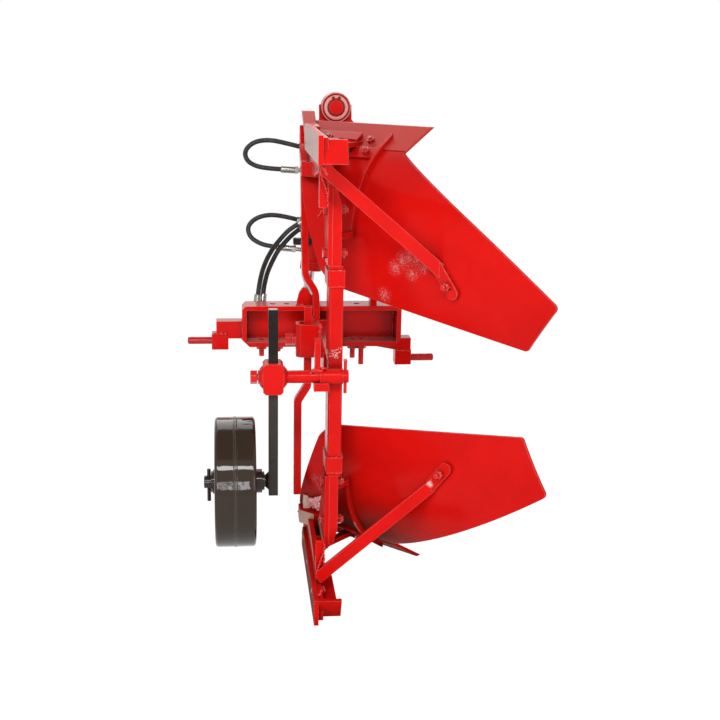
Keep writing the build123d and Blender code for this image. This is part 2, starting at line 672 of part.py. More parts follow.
def make_standard():
    core = span((AXIS_X - STANDARD_WIDTH / 2, AXIS_X + STANDARD_WIDTH / 2), (STANDARD_REAR, STANDARD_FRONT),
                (AXIS_Z - STANDARD_HALF, AXIS_Z + STANDARD_HALF))
    core = chamfer(core.edges().filter_by(Axis.Z), STANDARD_CHAMFER)
    shoulder = (LEG_X[1], LEG_FOOT + LEG_TAPER[1])
    leg = face_plate([(LEG_X[0], LEG_FOOT), (LEG_X[1] - LEG_TAPER[0], LEG_FOOT), shoulder,
                      (LEG_X[1], LEG_TOP + 1), (LEG_X[0], LEG_TOP + 1)], LEG_Y)
    for y, z in leg_bolt_places():
        leg -= rod_x(LEG_BOLT_R + HOLE_GAP, (LEG_X[0] - 1, LEG_X[1] + 1), y, z)
    return core + leg + flipped(leg)


def make_collar():
    half = STANDARD_WIDTH / 2 + COLLAR_WALL
    z = (AXIS_Z - COLLAR_RISE - COLLAR_HEIGHT / 2, AXIS_Z - COLLAR_RISE + COLLAR_HEIGHT / 2)
    outer_y = (STANDARD_REAR - COLLAR_WALL, STANDARD_FRONT + COLLAR_WALL)
    outer = span((AXIS_X - half, AXIS_X + half), outer_y, z)
    outer = chamfer(outer.edges().filter_by(Axis.Z), STANDARD_CHAMFER)
    inner_x = (AXIS_X - STANDARD_WIDTH / 2, AXIS_X + STANDARD_WIDTH / 2)
    inner = span(inner_x, (STANDARD_REAR, STANDARD_FRONT), z)
    return outer - chamfer(inner.edges().filter_by(Axis.Z), STANDARD_CHAMFER)


def make_main_beam():
    flange_y = (HOUSING_REAR - SEAT_GAP - FLANGE_THICK, HOUSING_REAR - SEAT_GAP)
    half_x, half_z = BEAM_WIDTH / 2, BEAM_HEIGHT / 2
    tube = span((AXIS_X - half_x, AXIS_X + half_x), (STANDARD_FRONT, flange_y[0]),
                (AXIS_Z - half_z, AXIS_Z + half_z))
    tube = fillet(tube.edges().filter_by(Axis.Y), 6)
    bore = span((AXIS_X - half_x + BEAM_WALL, AXIS_X + half_x - BEAM_WALL), (STANDARD_FRONT, flange_y[0]),
                (AXIS_Z - half_z + BEAM_WALL, AXIS_Z + half_z - BEAM_WALL))
    flange = rod_y(FLANGE_R, flange_y, AXIS_X, AXIS_Z) - rod_y(SHAFT_R, flange_y, AXIS_X, AXIS_Z)
    return tube - bore + flange


CRANK_Y = (HOUSING_FRONT + SEAT_GAP, HOUSING_FRONT + SEAT_GAP + CRANK_THICK)
crank_tilt = atan2(EYE_X - AXIS_X, EYE_Z - AXIS_Z)
CRANK_PIN = (AXIS_X - CRANK_RADIUS * cos(crank_tilt), AXIS_Z + CRANK_RADIUS * sin(crank_tilt))


def make_shaft():
    body = rod_y(SHAFT_R, (HOUSING_REAR - SEAT_GAP - FLANGE_THICK, CRANK_Y[1]), AXIS_X, AXIS_Z)
    return chamfer(body.faces().sort_by(Axis.Y)[-1].edges(), 2)


def make_crank():
    """A pear-shaped arm on the shaft, square at rest to the line from the axis to the cylinder's eye."""
    hub = rod_y(CRANK_HUB_R, CRANK_Y, AXIS_X, AXIS_Z)
    end = rod_y(CRANK_EYE_R, CRANK_Y, *CRANK_PIN)
    out = Vector(-cos(crank_tilt), sin(crank_tilt))
    up = Vector(sin(crank_tilt), cos(crank_tilt))
    lean = asin((CRANK_HUB_R - CRANK_EYE_R) / CRANK_RADIUS)
    outline = []
    for reach, radius, side in ((0, CRANK_HUB_R, 1), (CRANK_RADIUS, CRANK_EYE_R, 1),
                                (CRANK_RADIUS, CRANK_EYE_R, -1), (0, CRANK_HUB_R, -1)):
        p = out * (reach + radius * sin(lean)) + up * (side * radius * cos(lean))
        outline.append((AXIS_X + p.X, AXIS_Z + p.Y))
    return hub + end + face_plate(outline, CRANK_Y) - rod_y(SHAFT_R, CRANK_Y, AXIS_X, AXIS_Z)


def make_wheel_boss():
    tube = rod_x(BOSS_R, BOSS_X, BOSS_Y, AXIS_Z)
    pad_x = (AXIS_X - STANDARD_WIDTH / 2 + 3, BOSS_X[1])
    pad = span(pad_x, (BOSS_Y, STANDARD_REAR), (AXIS_Z - 17, AXIS_Z + 17))
    lug = side_plate([(BOSS_Y - LUG_HALF, AXIS_Z), (BOSS_Y - LUG_HALF, AXIS_Z + LUG_HEIGHT - LUG_CORNER[1]),
                      (BOSS_Y - LUG_HALF + LUG_CORNER[0], AXIS_Z + LUG_HEIGHT),
                      (BOSS_Y + LUG_HALF - LUG_CORNER[0], AXIS_Z + LUG_HEIGHT),
                      (BOSS_Y + LUG_HALF, AXIS_Z + LUG_HEIGHT - LUG_CORNER[1]), (BOSS_Y + LUG_HALF, AXIS_Z)],
                     (BOSS_X[0] - LUG_THICK, BOSS_X[0] + 1))
    stop = span((BOSS_X[0] - STOP_X[0], BOSS_X[0] + STOP_X[1]), (BOSS_Y - STOP_Y[0], BOSS_Y + STOP_Y[1]),
                (AXIS_Z - STOP_Z[0], AXIS_Z - STOP_Z[1]))
    return tube + pad + lug + stop - rod_x(CROSS_SHAFT_R + RUNNING_GAP, (BOSS_X[0] - 20, BOSS_X[1] + 1),
                                           BOSS_Y, AXIS_Z)


# Parking stand on the left of the main beam

def make_stand_socket():
    block = span(SOCKET_X, (STAND_Y - SOCKET_DEPTH / 2, STAND_Y + SOCKET_DEPTH / 2), SOCKET_Z)
    block = chamfer(block.edges().filter_by(Axis.Z).sort_by(Axis.X)[:2], 12)
    half = STAND_HALF + SLIDE_GAP
    block -= span((SOCKET_X[0] + SOCKET_WALL, STAND_X + half), (STAND_Y - half, STAND_Y + half),
                  (SOCKET_Z[0] - 1, SOCKET_Z[1] + 1))
    return block - rod_x(SCREW_R + RUNNING_GAP, (SOCKET_X[0] - 1, STAND_X), STAND_Y, STAND_SCREW_Z)


def make_stand_screw():
    stem = rod_x(SCREW_R, (SOCKET_X[0] - 14, STAND_X - STAND_HALF - SLIDE_GAP), STAND_Y, STAND_SCREW_Z)
    head = hexagon(30, 16, Plane(origin=(SOCKET_X[0] - 14, STAND_Y, STAND_SCREW_Z), z_dir=(-1, 0, 0)))
    nut = hexagon(30, 12, Plane(origin=(SOCKET_X[0] - SEAT_GAP, STAND_Y, STAND_SCREW_Z), z_dir=(-1, 0, 0)))
    return stem + head + nut


def make_parking_stand():
    path = FilletPolyline((STAND_X, STAND_Y, STAND_TOP), (STAND_X, STAND_Y, STAND_BEND_Z[0]),
                          (STAND_FOOT_X, STAND_Y, STAND_BEND_Z[1]), (STAND_FOOT_X, STAND_Y, STAND_FOOT),
                          radius=24)
    start = Plane(origin=path @ 0, x_dir=(1, 0, 0), z_dir=path % 0)
    return sweep(start * Rectangle(2 * STAND_HALF, 2 * STAND_HALF), path=path)


# Wheel arm, square bar and depth wheel

def make_cross_shaft():
    shaft = rod_x(CROSS_SHAFT_R, (CLAMP_X[1], CROSS_SHAFT_END), BOSS_Y, AXIS_Z)
    pin_z = (AXIS_Z - SHAFT_PIN_HALF, AXIS_Z + SHAFT_PIN_HALF)
    return shaft - rod_z(SHAFT_PIN_R, pin_z, SHAFT_PIN_X, BOSS_Y)


def make_wheel_clamp():
    half_y, half_z = CLAMP_DEPTH / 2, CLAMP_HEIGHT / 2
    block = span(CLAMP_X, (BOSS_Y - half_y, BOSS_Y + half_y), (AXIS_Z - half_z, AXIS_Z + half_z))
    block = chamfer(block.edges().filter_by(Axis.Y), CLAMP_CHAMFER)
    half_bar = WHEEL_BAR / 2 + SLIDE_GAP
    block -= span((WHEEL_BAR_X - half_bar, WHEEL_BAR_X + half_bar), (BOSS_Y - half_bar, BOSS_Y + half_bar),
                  (AXIS_Z - half_z - 1, AXIS_Z + half_z + 1))
    return block - rod_x(SCREW_R + RUNNING_GAP, (CLAMP_X[0] - 1, WHEEL_BAR_X), BOSS_Y, AXIS_Z)


def make_clamp_screw():
    tip = WHEEL_BAR_X - WHEEL_BAR / 2 - SLIDE_GAP
    stem = rod_x(SCREW_R, (CLAMP_X[0] - 15, tip), BOSS_Y, AXIS_Z)
    head = hexagon(32, 18, Plane(origin=(CLAMP_X[0] - 15, BOSS_Y, AXIS_Z), z_dir=(-1, 0, 0)))
    nut = hexagon(32, 13, Plane(origin=(CLAMP_X[0] - SEAT_GAP, BOSS_Y, AXIS_Z), z_dir=(-1, 0, 0)))
    return stem + head + nut


def make_shaft_pin():
    top = AXIS_Z + SHAFT_PIN_HALF
    pin = rod_z(SHAFT_PIN_R, (AXIS_Z - SHAFT_PIN_HALF, top), SHAFT_PIN_X, BOSS_Y)
    bar_x = (SHAFT_PIN_X - SHAFT_PIN_R, SHAFT_PIN_X + SHAFT_PIN_R)
    bar_y = (BOSS_Y - SHAFT_PIN_BAR / 2, BOSS_Y + SHAFT_PIN_BAR / 2)
    return pin + span(bar_x, bar_y, (top - SHAFT_PIN_HEAD, top))


def make_wheel_bar():
    half = WHEEL_BAR / 2
    bar = span((WHEEL_BAR_X - half, WHEEL_BAR_X + half), (BOSS_Y - half, BOSS_Y + half),
               (WHEEL_BAR_BOTTOM, WHEEL_BAR_TOP))
    return chamfer(bar.edges(), 1.2)


AXLE_SHOULDER = WHEEL_BAR_X - WHEEL_BAR / 2
COTTER_X = HUB_X[0] - 10


def make_axle():
    stub = rod_x(AXLE_R, (AXLE_END, AXLE_SHOULDER), BOSS_Y, WHEEL_Z)
    stub = chamfer(stub.faces().sort_by(Axis.X)[0].edges(), 2)
    collar_x = (HUB_X[1] + SEAT_GAP, HUB_X[1] + SEAT_GAP + AXLE_COLLAR)
    collar = rod_x(AXLE_R + 8, collar_x, BOSS_Y, WHEEL_Z)
    flare = Cone(AXLE_R, AXLE_R + AXLE_FLARE, AXLE_FLARE)
    flare = Pos(AXLE_SHOULDER - AXLE_FLARE / 2, BOSS_Y, WHEEL_Z) * Rot(0, 90, 0) * flare
    hole = rod_z(COTTER_R, (WHEEL_Z - 2 * AXLE_R, WHEEL_Z + 2 * AXLE_R), COTTER_X, BOSS_Y)
    return stub + collar + flare - hole


def make_washer():
    x = (HUB_X[0] - 4 - SEAT_GAP, HUB_X[0] - SEAT_GAP)
    return rod_x(AXLE_R + 11, x, BOSS_Y, WHEEL_Z) - rod_x(AXLE_R, x, BOSS_Y, WHEEL_Z)


def make_cotter():
    return rod_z(COTTER_R, (WHEEL_Z - COTTER_REACH[0], WHEEL_Z + COTTER_REACH[1]), COTTER_X, BOSS_Y)


def make_wheel_half(side):
    """One pressed half of the wheel: tread, rounded shoulder and dished web, seamed at the middle."""
    half = WHEEL_WIDTH / 2
    inner = WHEEL_R - WHEEL_WALL
    web_out, web_in = half, half - WHEEL_WALL
    shoulder = WHEEL_EDGE_R
    hub_face = half - 14
    outline = [
        Line((0, inner), (0, WHEEL_R + WHEEL_SEAM)),
        Line((0, WHEEL_R + WHEEL_SEAM), (3, WHEEL_R + WHEEL_SEAM)),
        Line((3, WHEEL_R + WHEEL_SEAM), (5, WHEEL_R)),
        Line((5, WHEEL_R), (web_out - shoulder, WHEEL_R)),
        JernArc((web_out - shoulder, WHEEL_R), (1, 0), shoulder, -90),
        Line((web_out, WHEEL_R - shoulder), (web_out, WHEEL_R - shoulder - 30)),
        Line((web_out, WHEEL_R - shoulder - 30), (hub_face, HUB_R + 22)),
        Line((hub_face, HUB_R + 22), (hub_face, HUB_R)),
        Line((hub_face, HUB_R), (hub_face - WHEEL_WALL, HUB_R)),
        Line((hub_face - WHEEL_WALL, HUB_R), (hub_face - WHEEL_WALL, HUB_R + 22)),
        Line((hub_face - WHEEL_WALL, HUB_R + 22), (web_in, WHEEL_R - shoulder - 30)),
        Line((web_in, WHEEL_R - shoulder - 30), (web_in, inner)),
        Line((web_in, inner), (0, inner)),
    ]
    plane = Plane(origin=(WHEEL_X, BOSS_Y, WHEEL_Z), x_dir=(side, 0, 0), z_dir=(0, -side, 0))
    axis = Axis((WHEEL_X, BOSS_Y, WHEEL_Z), (1, 0, 0))
    return revolve(plane * make_face(outline), axis=axis)


def make_hub():
    bore = AXLE_R + HUB_BUSH_WALL
    return rod_x(HUB_R, HUB_X, BOSS_Y, WHEEL_Z) - rod_x(bore, HUB_X, BOSS_Y, WHEEL_Z)


def make_hub_bush(x):
    outer = rod_x(AXLE_R + HUB_BUSH_WALL, x, BOSS_Y, WHEEL_Z)
    return outer - rod_x(AXLE_R + RUNNING_GAP, x, BOSS_Y, WHEEL_Z)


# Headstock: tray, turnover housing, mast, hitch arms

def strap_y(z):
    return STRAP_FOOT_Y + (z - STRAP_REF_Z) * tan(radians(STRAP_LEAN))


def strap_plane():
    lean = radians(STRAP_LEAN)
    return Plane(origin=(0, STRAP_FOOT_Y, STRAP_REF_Z), x_dir=(1, 0, 0), z_dir=(0, -cos(lean), sin(lean)))


def strap_rise(z):
    return (z - STRAP_REF_Z) / cos(radians(STRAP_LEAN))


def make_strap(points, foot_z):
    """A bent flat bar along a line of (x, z) points in the mast's leaning plane, cut level at foot_z."""
    places = [(x, strap_rise(z)) for x, z in points]
    line = FilletPolyline(*places, radius=STRAP_KNEE_R) if len(points) > 2 else Line(*places)
    face = trace(line, STRAP_WIDTH)
    bar = extrude(strap_plane() * face, STRAP_DEPTH / 2, both=True)
    bar -= span((-400, 600), (0, 1200), (foot_z - 300, foot_z))
    return bar - span((-400, 600), (0, HOUSING_REAR), (foot_z - 300, STRAP_TOP))


def make_strap_left():
    low, high = STRAP_KNEES_Z
    points = [(STRAP_FOOT_X, STRAP_CUT_Z - 20), (STRAP_FOOT_X, low), (STRAP_LEFT_X, high)]
    points.append((STRAP_LEFT_X, STRAP_TOP))
    base = TRAY_Z[1]
    sides = [(x, base + rise) for x, rise in GUSSET]
    gusset = face_plate([(GUSSET[0][0], base), *sides, (GUSSET[-1][0], base)], GUSSET_Y)
    bar = make_strap(points, STRAP_CUT_Z) + gusset
    return bar - rod_y(HOUSING_R, (HOUSING_REAR, HOUSING_FRONT), AXIS_X, AXIS_Z)


def make_strap_right():
    x = 2 * EYE_X - STRAP_LEFT_X
    return make_strap([(x, STRAP_REF_Z - 20), (x, RIGHT_STRAP_TOP)], TRAY_Z[1])


def make_tray():
    back = (TRAY_Y[1] - TRAY_PLATE, TRAY_Y[1])
    corner = TRAY_CORNER
    low_edge = [(TRAY_X[0] + corner, TRAY_Z[0]), (TRAY_X[1] - corner, TRAY_Z[0])]
    right_edge = [(TRAY_X[1], TRAY_Z[0] + corner), (TRAY_X[1], TRAY_Z[1] - corner / 2)]
    top_edge = [(TRAY_X[1] - corner / 2, TRAY_Z[1]), (TRAY_X[0] + corner / 2, TRAY_Z[1])]
    left_edge = [(TRAY_X[0], TRAY_Z[1] - corner / 2), (TRAY_X[0], TRAY_Z[0] + corner)]
    outline = [*low_edge, *right_edge, *top_edge, *left_edge]
    tray = face_plate(outline, TRAY_Y)
    left, right = TRAY_X[0] + TRAY_PLATE, TRAY_X[1] - TRAY_PLATE
    low, high = TRAY_Z[0] + TRAY_PLATE, TRAY_Z[1] - TRAY_PLATE
    inside = [(left, low), (right, low), (right, high), (left, high)]
    tray -= face_plate(inside, (TRAY_Y[0] - 1, back[0]))
    for stem in tray_bolt_stems(HOLE_GAP):
        tray -= stem
    for x in TRAY_HOLES_X:
        tray -= rod_z(TRAY_HOLE_R, (TRAY_Z[1] - TRAY_PLATE - 1, TRAY_Z[1] + 1), x, TRAY_Y[0] + 38)
    tray -= rod_y(HOUSING_R, (HOUSING_REAR, HOUSING_FRONT), AXIS_X, AXIS_Z)
    bracket = span((COUPLERS[0][0] - BRACKET_EDGE, COUPLERS[1][0] + BRACKET_EDGE),
                   (TRAY_Y[1] - 1, COUPLERS[1][1] + BRACKET_EDGE), BRACKET_Z)
    for x, y in COUPLERS:
        bracket -= rod_z(COUPLER_R, (BRACKET_Z[0] - 1, BRACKET_Z[1] + 1), x, y)
    return tray + bracket - make_strap_left()


def make_housing():
    bore = SHAFT_R + BUSH_WALL
    y = (HOUSING_REAR, HOUSING_FRONT)
    return rod_y(HOUSING_R, y, AXIS_X, AXIS_Z) - rod_y(bore, y, AXIS_X, AXIS_Z)


def make_bush(y):
    return rod_y(SHAFT_R + BUSH_WALL, y, AXIS_X, AXIS_Z) - rod_y(SHAFT_R + RUNNING_GAP, y, AXIS_X, AXIS_Z)


def make_mast_head():
    """A plate on the front of the straps, and the boss of the cylinder's pivot."""
    right = 2 * EYE_X - STRAP_LEFT_X
    half = STRAP_WIDTH / 2
    left_side = [(STRAP_LEFT_X - half, STRAP_TOP - 12), (STRAP_LEFT_X - half, HEAD_BASE_Z)]
    right_side = [(right + half, HEAD_BASE_Z), (right + half, RIGHT_STRAP_TOP - 12)]
    x0, x1 = EYE_X - HEAD_HALF, EYE_X + HEAD_HALF
    crown = [(x1, EYE_Z - 30), (x1, EYE_Z + 14), (x0, EYE_Z + 14), (x0, EYE_Z - 30)]
    outline = [*left_side, *right_side, *crown]
    face = make_face(Polyline(*[(x, strap_rise(z)) for x, z in outline], close=True))
    plate = extrude(strap_plane().offset(-STRAP_DEPTH / 2 - HEAD_PLATE) * face, HEAD_PLATE)
    boss = rod_y(EYE_R, HEAD_Y, EYE_X, EYE_Z)
    groove_y = (HEAD_Y[0], HEAD_Y[0] + GROOVE_DEPTH)
    groove = [rod_y(radius, groove_y, EYE_X, EYE_Z) for radius in BOSS_GROOVE]
    boss -= groove[1] - groove[0]
    plate -= span((-400, 600), (HEAD_Y[1], HEAD_Y[1] + 200), (HEAD_BASE_Z, 2 * EYE_Z))
    return plate + boss - rod_y(PIVOT_R, (HEAD_Y[0] - 100, HEAD_Y[1]), EYE_X, EYE_Z)


PIVOT_Y = (HEAD_Y[0] - 7, CYL_Y + CYL_EYE_WIDTH / 2 + 8)


def circlip_places():
    return [(HEAD_Y[0] - 3, HEAD_Y[0]), (CYL_Y + CYL_EYE_WIDTH / 2 + 0.5, CYL_Y + CYL_EYE_WIDTH / 2 + 3.5)]


def make_pivot_pin():
    pin = rod_y(PIVOT_R, PIVOT_Y, EYE_X, EYE_Z)
    for y in circlip_places():
        pin -= rod_y(PIVOT_R + 1, y, EYE_X, EYE_Z) - rod_y(PIVOT_R - 2, y, EYE_X, EYE_Z)
    return chamfer(pin.faces().filter_by(GeomType.PLANE).sort_by(Axis.Y)[0].edges(), 2)


def make_circlips():
    rings = []
    for y in circlip_places():
        ring = rod_y(CIRCLIP_R, y, EYE_X, EYE_Z) - rod_y(PIVOT_R - 2, y, EYE_X, EYE_Z)
        ring -= span((EYE_X - 4, EYE_X + 4), y, (EYE_Z, EYE_Z + 2 * CIRCLIP_R))
        for x in (EYE_X - 9, EYE_X + 9):
            ring += rod_y(5, y, x, EYE_Z + CIRCLIP_R + 2)
        rings.append(ring)
    return Compound(rings)


def make_arm_left():
    y = (LINK_Y - ARM_DEPTH / 2, LINK_Y + ARM_DEPTH / 2)
    arm = span((LEFT_SHOULDER + 14, TRAY_X[0]), y, LEFT_ARM_Z)
    block = span((LEFT_SHOULDER, LEFT_SHOULDER + 50), y, (LEFT_PIN_Z - 24, LEFT_ARM_Z[0] + 14))
    whole = arm + block
    return whole - rod_x(LINK_ROOT_R, (LEFT_SHOULDER - 1, LEFT_SHOULDER + 40), LINK_Y, LEFT_PIN_Z)


def make_arm_right():
    y = (LINK_Y - ARM_DEPTH / 2, LINK_Y + ARM_DEPTH / 2)
    end_x = RIGHT_SHOULDER - 2
    corner_x = TRAY_X[1] - TRAY_CORNER
    arm = face_plate([(RIGHT_ARM_X, TRAY_Z[0]), (corner_x, RIGHT_ARM_Z[0] + 6), (end_x, RIGHT_ARM_Z[0]),
                      (end_x, RIGHT_ARM_Z[1]), (corner_x + RIGHT_ARM_Z[1] - TRAY_Z[0], RIGHT_ARM_Z[1]),
                      (corner_x, TRAY_Z[0])], y)
    block = span((RIGHT_SHOULDER - 50, RIGHT_SHOULDER), y, (RIGHT_PIN_Z - 18, RIGHT_ARM_Z[0] + 4))
    return arm + block - rod_x(LINK_ROOT_R, (RIGHT_SHOULDER - 40, RIGHT_SHOULDER + 1), LINK_Y, RIGHT_PIN_Z)


def make_link_pin(shoulder, z, side):
    tip = shoulder + side * LINK_PIN_LENGTH
    root = shoulder - side * 40
    pin = rod_x(LINK_PIN_R, (min(shoulder, tip), max(shoulder, tip)), LINK_Y, z)
    end = pin.faces().filter_by(GeomType.PLANE).sort_by(Axis.X)[-1 if side > 0 else 0]
    pin = chamfer(end.edges(), 3) + rod_x(LINK_ROOT_R, (min(root, shoulder), max(root, shoulder)), LINK_Y, z)
    return pin - rod_z(4, (z - 20, z + 20), tip - side * 12, LINK_Y)


def tray_bolt_stems(gap):
    """Stems from each bolt's foot to the inner face of the tray's floor."""
    return [rod_z(TRAY_BOLT_R + gap, (foot, TRAY_Z[0] + TRAY_PLATE), x, LINK_Y) for x, foot in TRAY_BOLTS]


def make_tray_bolts():
    bolts = []
    for (x, foot), stem in zip(TRAY_BOLTS, tray_bolt_stems(0)):
        bolts.append(stem + hexagon(*TRAY_NUT, Plane(origin=(x, LINK_Y, TRAY_Z[0]), z_dir=(0, 0, -1))))
    return Compound(bolts)


def make_top_link():
    """Clevis for the tractor's top link, welded between the straps."""
    x0 = STRAP_LEFT_X + STRAP_WIDTH / 2
    x1 = 2 * EYE_X - STRAP_LEFT_X - STRAP_WIDTH / 2
    middle = strap_y(TOP_LINK_Z)
    low, high = TOP_LINK_Z - TOP_LINK_HALF, TOP_LINK_Z + TOP_LINK_HALF
    clevis = span((x0, x1), (middle - TOP_LINK_BAR / 2, middle + TOP_LINK_BAR / 2), (low, high))
    bore_y = middle + TOP_LINK_REACH
    for side in (-1, 1):
        inner = TOP_LINK_X + side * TOP_LINK_GAP / 2
        outer = inner + side * TOP_LINK_EAR
        x = (min(inner, outer), max(inner, outer))
        ear = side_plate([(middle, low), (middle, high), (bore_y, high), (bore_y, low)], x)
        clevis += ear + rod_x(TOP_LINK_HALF, x, bore_y, TOP_LINK_Z)
    reach = TOP_LINK_GAP / 2 + TOP_LINK_EAR + 1
    return clevis - rod_x(TOP_LINK_BORE_R, (TOP_LINK_X - reach, TOP_LINK_X + reach), bore_y, TOP_LINK_Z)


# Turnover cylinder

cyl_vector = Vector(CRANK_PIN[0] - EYE_X, 0, CRANK_PIN[1] - EYE_Z)
CYL_LENGTH = cyl_vector.length
BARREL_END = CYL_LENGTH - ROD_OUT
cyl_down = cyl_vector.normalized()
CYL_LEAN = degrees(atan2(-cyl_vector.X, -cyl_vector.Z))


def along_cylinder(radius, start, end):
    plane = Plane(origin=Vector(EYE_X, CYL_Y, EYE_Z) + cyl_down * start, x_dir=(0, 1, 0), z_dir=cyl_down)
    return extrude(plane * Circle(radius), end - start)


def make_barrel():
    y = (CYL_Y - CYL_EYE_WIDTH / 2, CYL_Y + CYL_EYE_WIDTH / 2)
    eye = rod_y(CYL_EYE_R, y, EYE_X, EYE_Z)
    neck = along_cylinder(CYL_EYE_WIDTH / 2 - 2, 25, BARREL_START + 22)
    cap = neck + along_cylinder(BARREL_R, BARREL_START, BARREL_END)
    bored = cap - along_cylinder(BARREL_BORE, BARREL_START + 22, BARREL_END)
    return bored + eye - rod_y(PIVOT_R + RUNNING_GAP, y, EYE_X, EYE_Z)


def make_gland():
    ring = along_cylinder(GLAND_R, BARREL_END, BARREL_END + GLAND_LENGTH)
    spigot = along_cylinder(BARREL_BORE, BARREL_END - 20, BARREL_END)
    return ring + spigot - along_cylinder(ROD_R + RUNNING_GAP, BARREL_END - 20, BARREL_END + GLAND_LENGTH)


def make_rod():
    stem = along_cylinder(ROD_R, PISTON_AT, CYL_LENGTH - ROD_EYE_R + 6)
    piston = along_cylinder(BARREL_BORE - RUNNING_GAP, PISTON_AT, PISTON_AT + PISTON_LENGTH)
    y = (CYL_Y - CYL_EYE_WIDTH / 2, CYL_Y + CYL_EYE_WIDTH / 2)
    return stem + piston - rod_y(ROD_EYE_R, y, *CRANK_PIN)


def make_rod_eye():
    y = (CYL_Y - CYL_EYE_WIDTH / 2, CYL_Y + CYL_EYE_WIDTH / 2)
    return rod_y(ROD_EYE_R, y, *CRANK_PIN) - rod_y(CRANK_PIN_R, y, *CRANK_PIN)


def make_crank_pin():
    """Pin of the rod eye. Its inner end stops just short of the crank: the linkage is open here."""
    front = CYL_Y + CYL_EYE_WIDTH / 2
    pin = rod_y(CRANK_PIN_R, (CRANK_Y[1] + SEAT_GAP, front + 6), *CRANK_PIN)
    return pin + rod_y(CRANK_PIN_R + 7, (front, front + 6), *CRANK_PIN)


def hose_tail(end, inner):
    """The plane at a hose's end, looking out along the hose."""
    way = Vector(*end) - Vector(*inner)
    return Plane(origin=Vector(*end), z_dir=way.normalized())


def hose_fitting(hose, at_start, ferrule_length):
    """Ferrule, hexagon and nipple in line with a hose, from its end to the side of the barrel."""
    end, inner = (hose[0], hose[1]) if at_start else (hose[-1], hose[-2])
    tail = hose_tail(end, inner).offset(SEAT_GAP)
    crimp = extrude(tail * Circle(FERRULE_R), ferrule_length)
    nut = hexagon(20, 11, tail.offset(ferrule_length))
    nipple = extrude(tail * Circle(NIPPLE_R), ferrule_length + NIPPLE_REACH)
    whole = crimp + nut + nipple - along_cylinder(BARREL_R, BARREL_START, BARREL_END)
    return whole.solids().sort_by(SortBy.VOLUME)[-1]


def make_hose_fittings():
    return Compound([
        hose_fitting(LOOP_UPPER, True, LOOP_FERRULES[0]),
        hose_fitting(LOOP_UPPER, False, LOOP_FERRULES[1]),
        hose_fitting(LOOP_LOWER, True, LOOP_FERRULES[2]),
        hose_fitting(LOOP_LOWER, False, LOOP_FERRULES[3]),
        hose_fitting(SUPPLY_LEFT, True, SUPPLY_FERRULE),
        hose_fitting(SUPPLY_RIGHT, True, SUPPLY_FERRULE),
    ])


def make_valve():
    block = span(VALVE_X, VALVE_Y, VALVE_Z)
    block = chamfer(block.edges().filter_by(Axis.Y), 3)
    return block - along_cylinder(BARREL_R, BARREL_START, BARREL_END)


# Hoses: straight runs joined by the largest tangent arcs that the runs allow

def make_hose(points):
    places = [Vector(*p) for p in points]
    radii = []
    for a, b, c in zip(places, places[1:], places[2:]):
        turn = radians((b - a).get_angle(c - b))
        shorter = min((b - a).length, (c - b).length)
        radii.append(0.45 * shorter / tan(turn / 2))
    path = FilletPolyline(*places, radius=radii)
    tube = sweep(Plane(origin=path @ 0, z_dir=path % 0) * Circle(HOSE_R), path=path)
    ratio = tube.volume / (path.length * pi * HOSE_R ** 2)
    print("hose length %.0f, least radius %.0f, volume ratio %.4f" % (path.length, min(radii), ratio))
    return tube


def make_couplers():
    bodies = []
    for (x, y), hose in zip(COUPLERS, (SUPPLY_LEFT, SUPPLY_RIGHT)):
        top = hose[-1][2]
        nut = Plane(origin=(x, y, BRACKET_Z[1]), z_dir=(0, 0, 1))
        tail = extrude(hose_tail(hose[-1], hose[-2]) * Circle(FERRULE_R), top - BRACKET_Z[1])
        body = tail + hexagon(COUPLER_NUT, 12, nut)
        body += rod_z(COUPLER_R, (BRACKET_Z[0] - 40, BRACKET_Z[1]), x, y)
        bodies.append(body + rod_z(COUPLER_R - 4, (BRACKET_Z[0] - 62, BRACKET_Z[0] - 40), x, y))
    return Compound(bodies)


lower_bolts = make_plough_bolts()
frame_bolts = [*make_leg_bolts().solids(), *make_landside_bolts().solids()]
lower_body = {
    "frog": make_frog(0),
    "mouldboard": make_mouldboard(),
    "share": make_share(),
    "point": make_point(0),
    "landside": make_landside(),
    "brace": make_brace(),
}
upper_body = dict(lower_body)
upper_body["frog"] = make_frog(UPPER_POINT_SET)
upper_body["point"] = make_point(UPPER_POINT_SET)
rear_bush = make_bush((HOUSING_REAR, HOUSING_REAR + BUSH_LENGTH))
front_bush = make_bush((HOUSING_FRONT - BUSH_LENGTH, HOUSING_FRONT))
left_hub_bush = make_hub_bush((HUB_X[0], HUB_X[0] + HUB_BUSH_LENGTH))
right_hub_bush = make_hub_bush((HUB_X[1] - HUB_BUSH_LENGTH, HUB_X[1]))

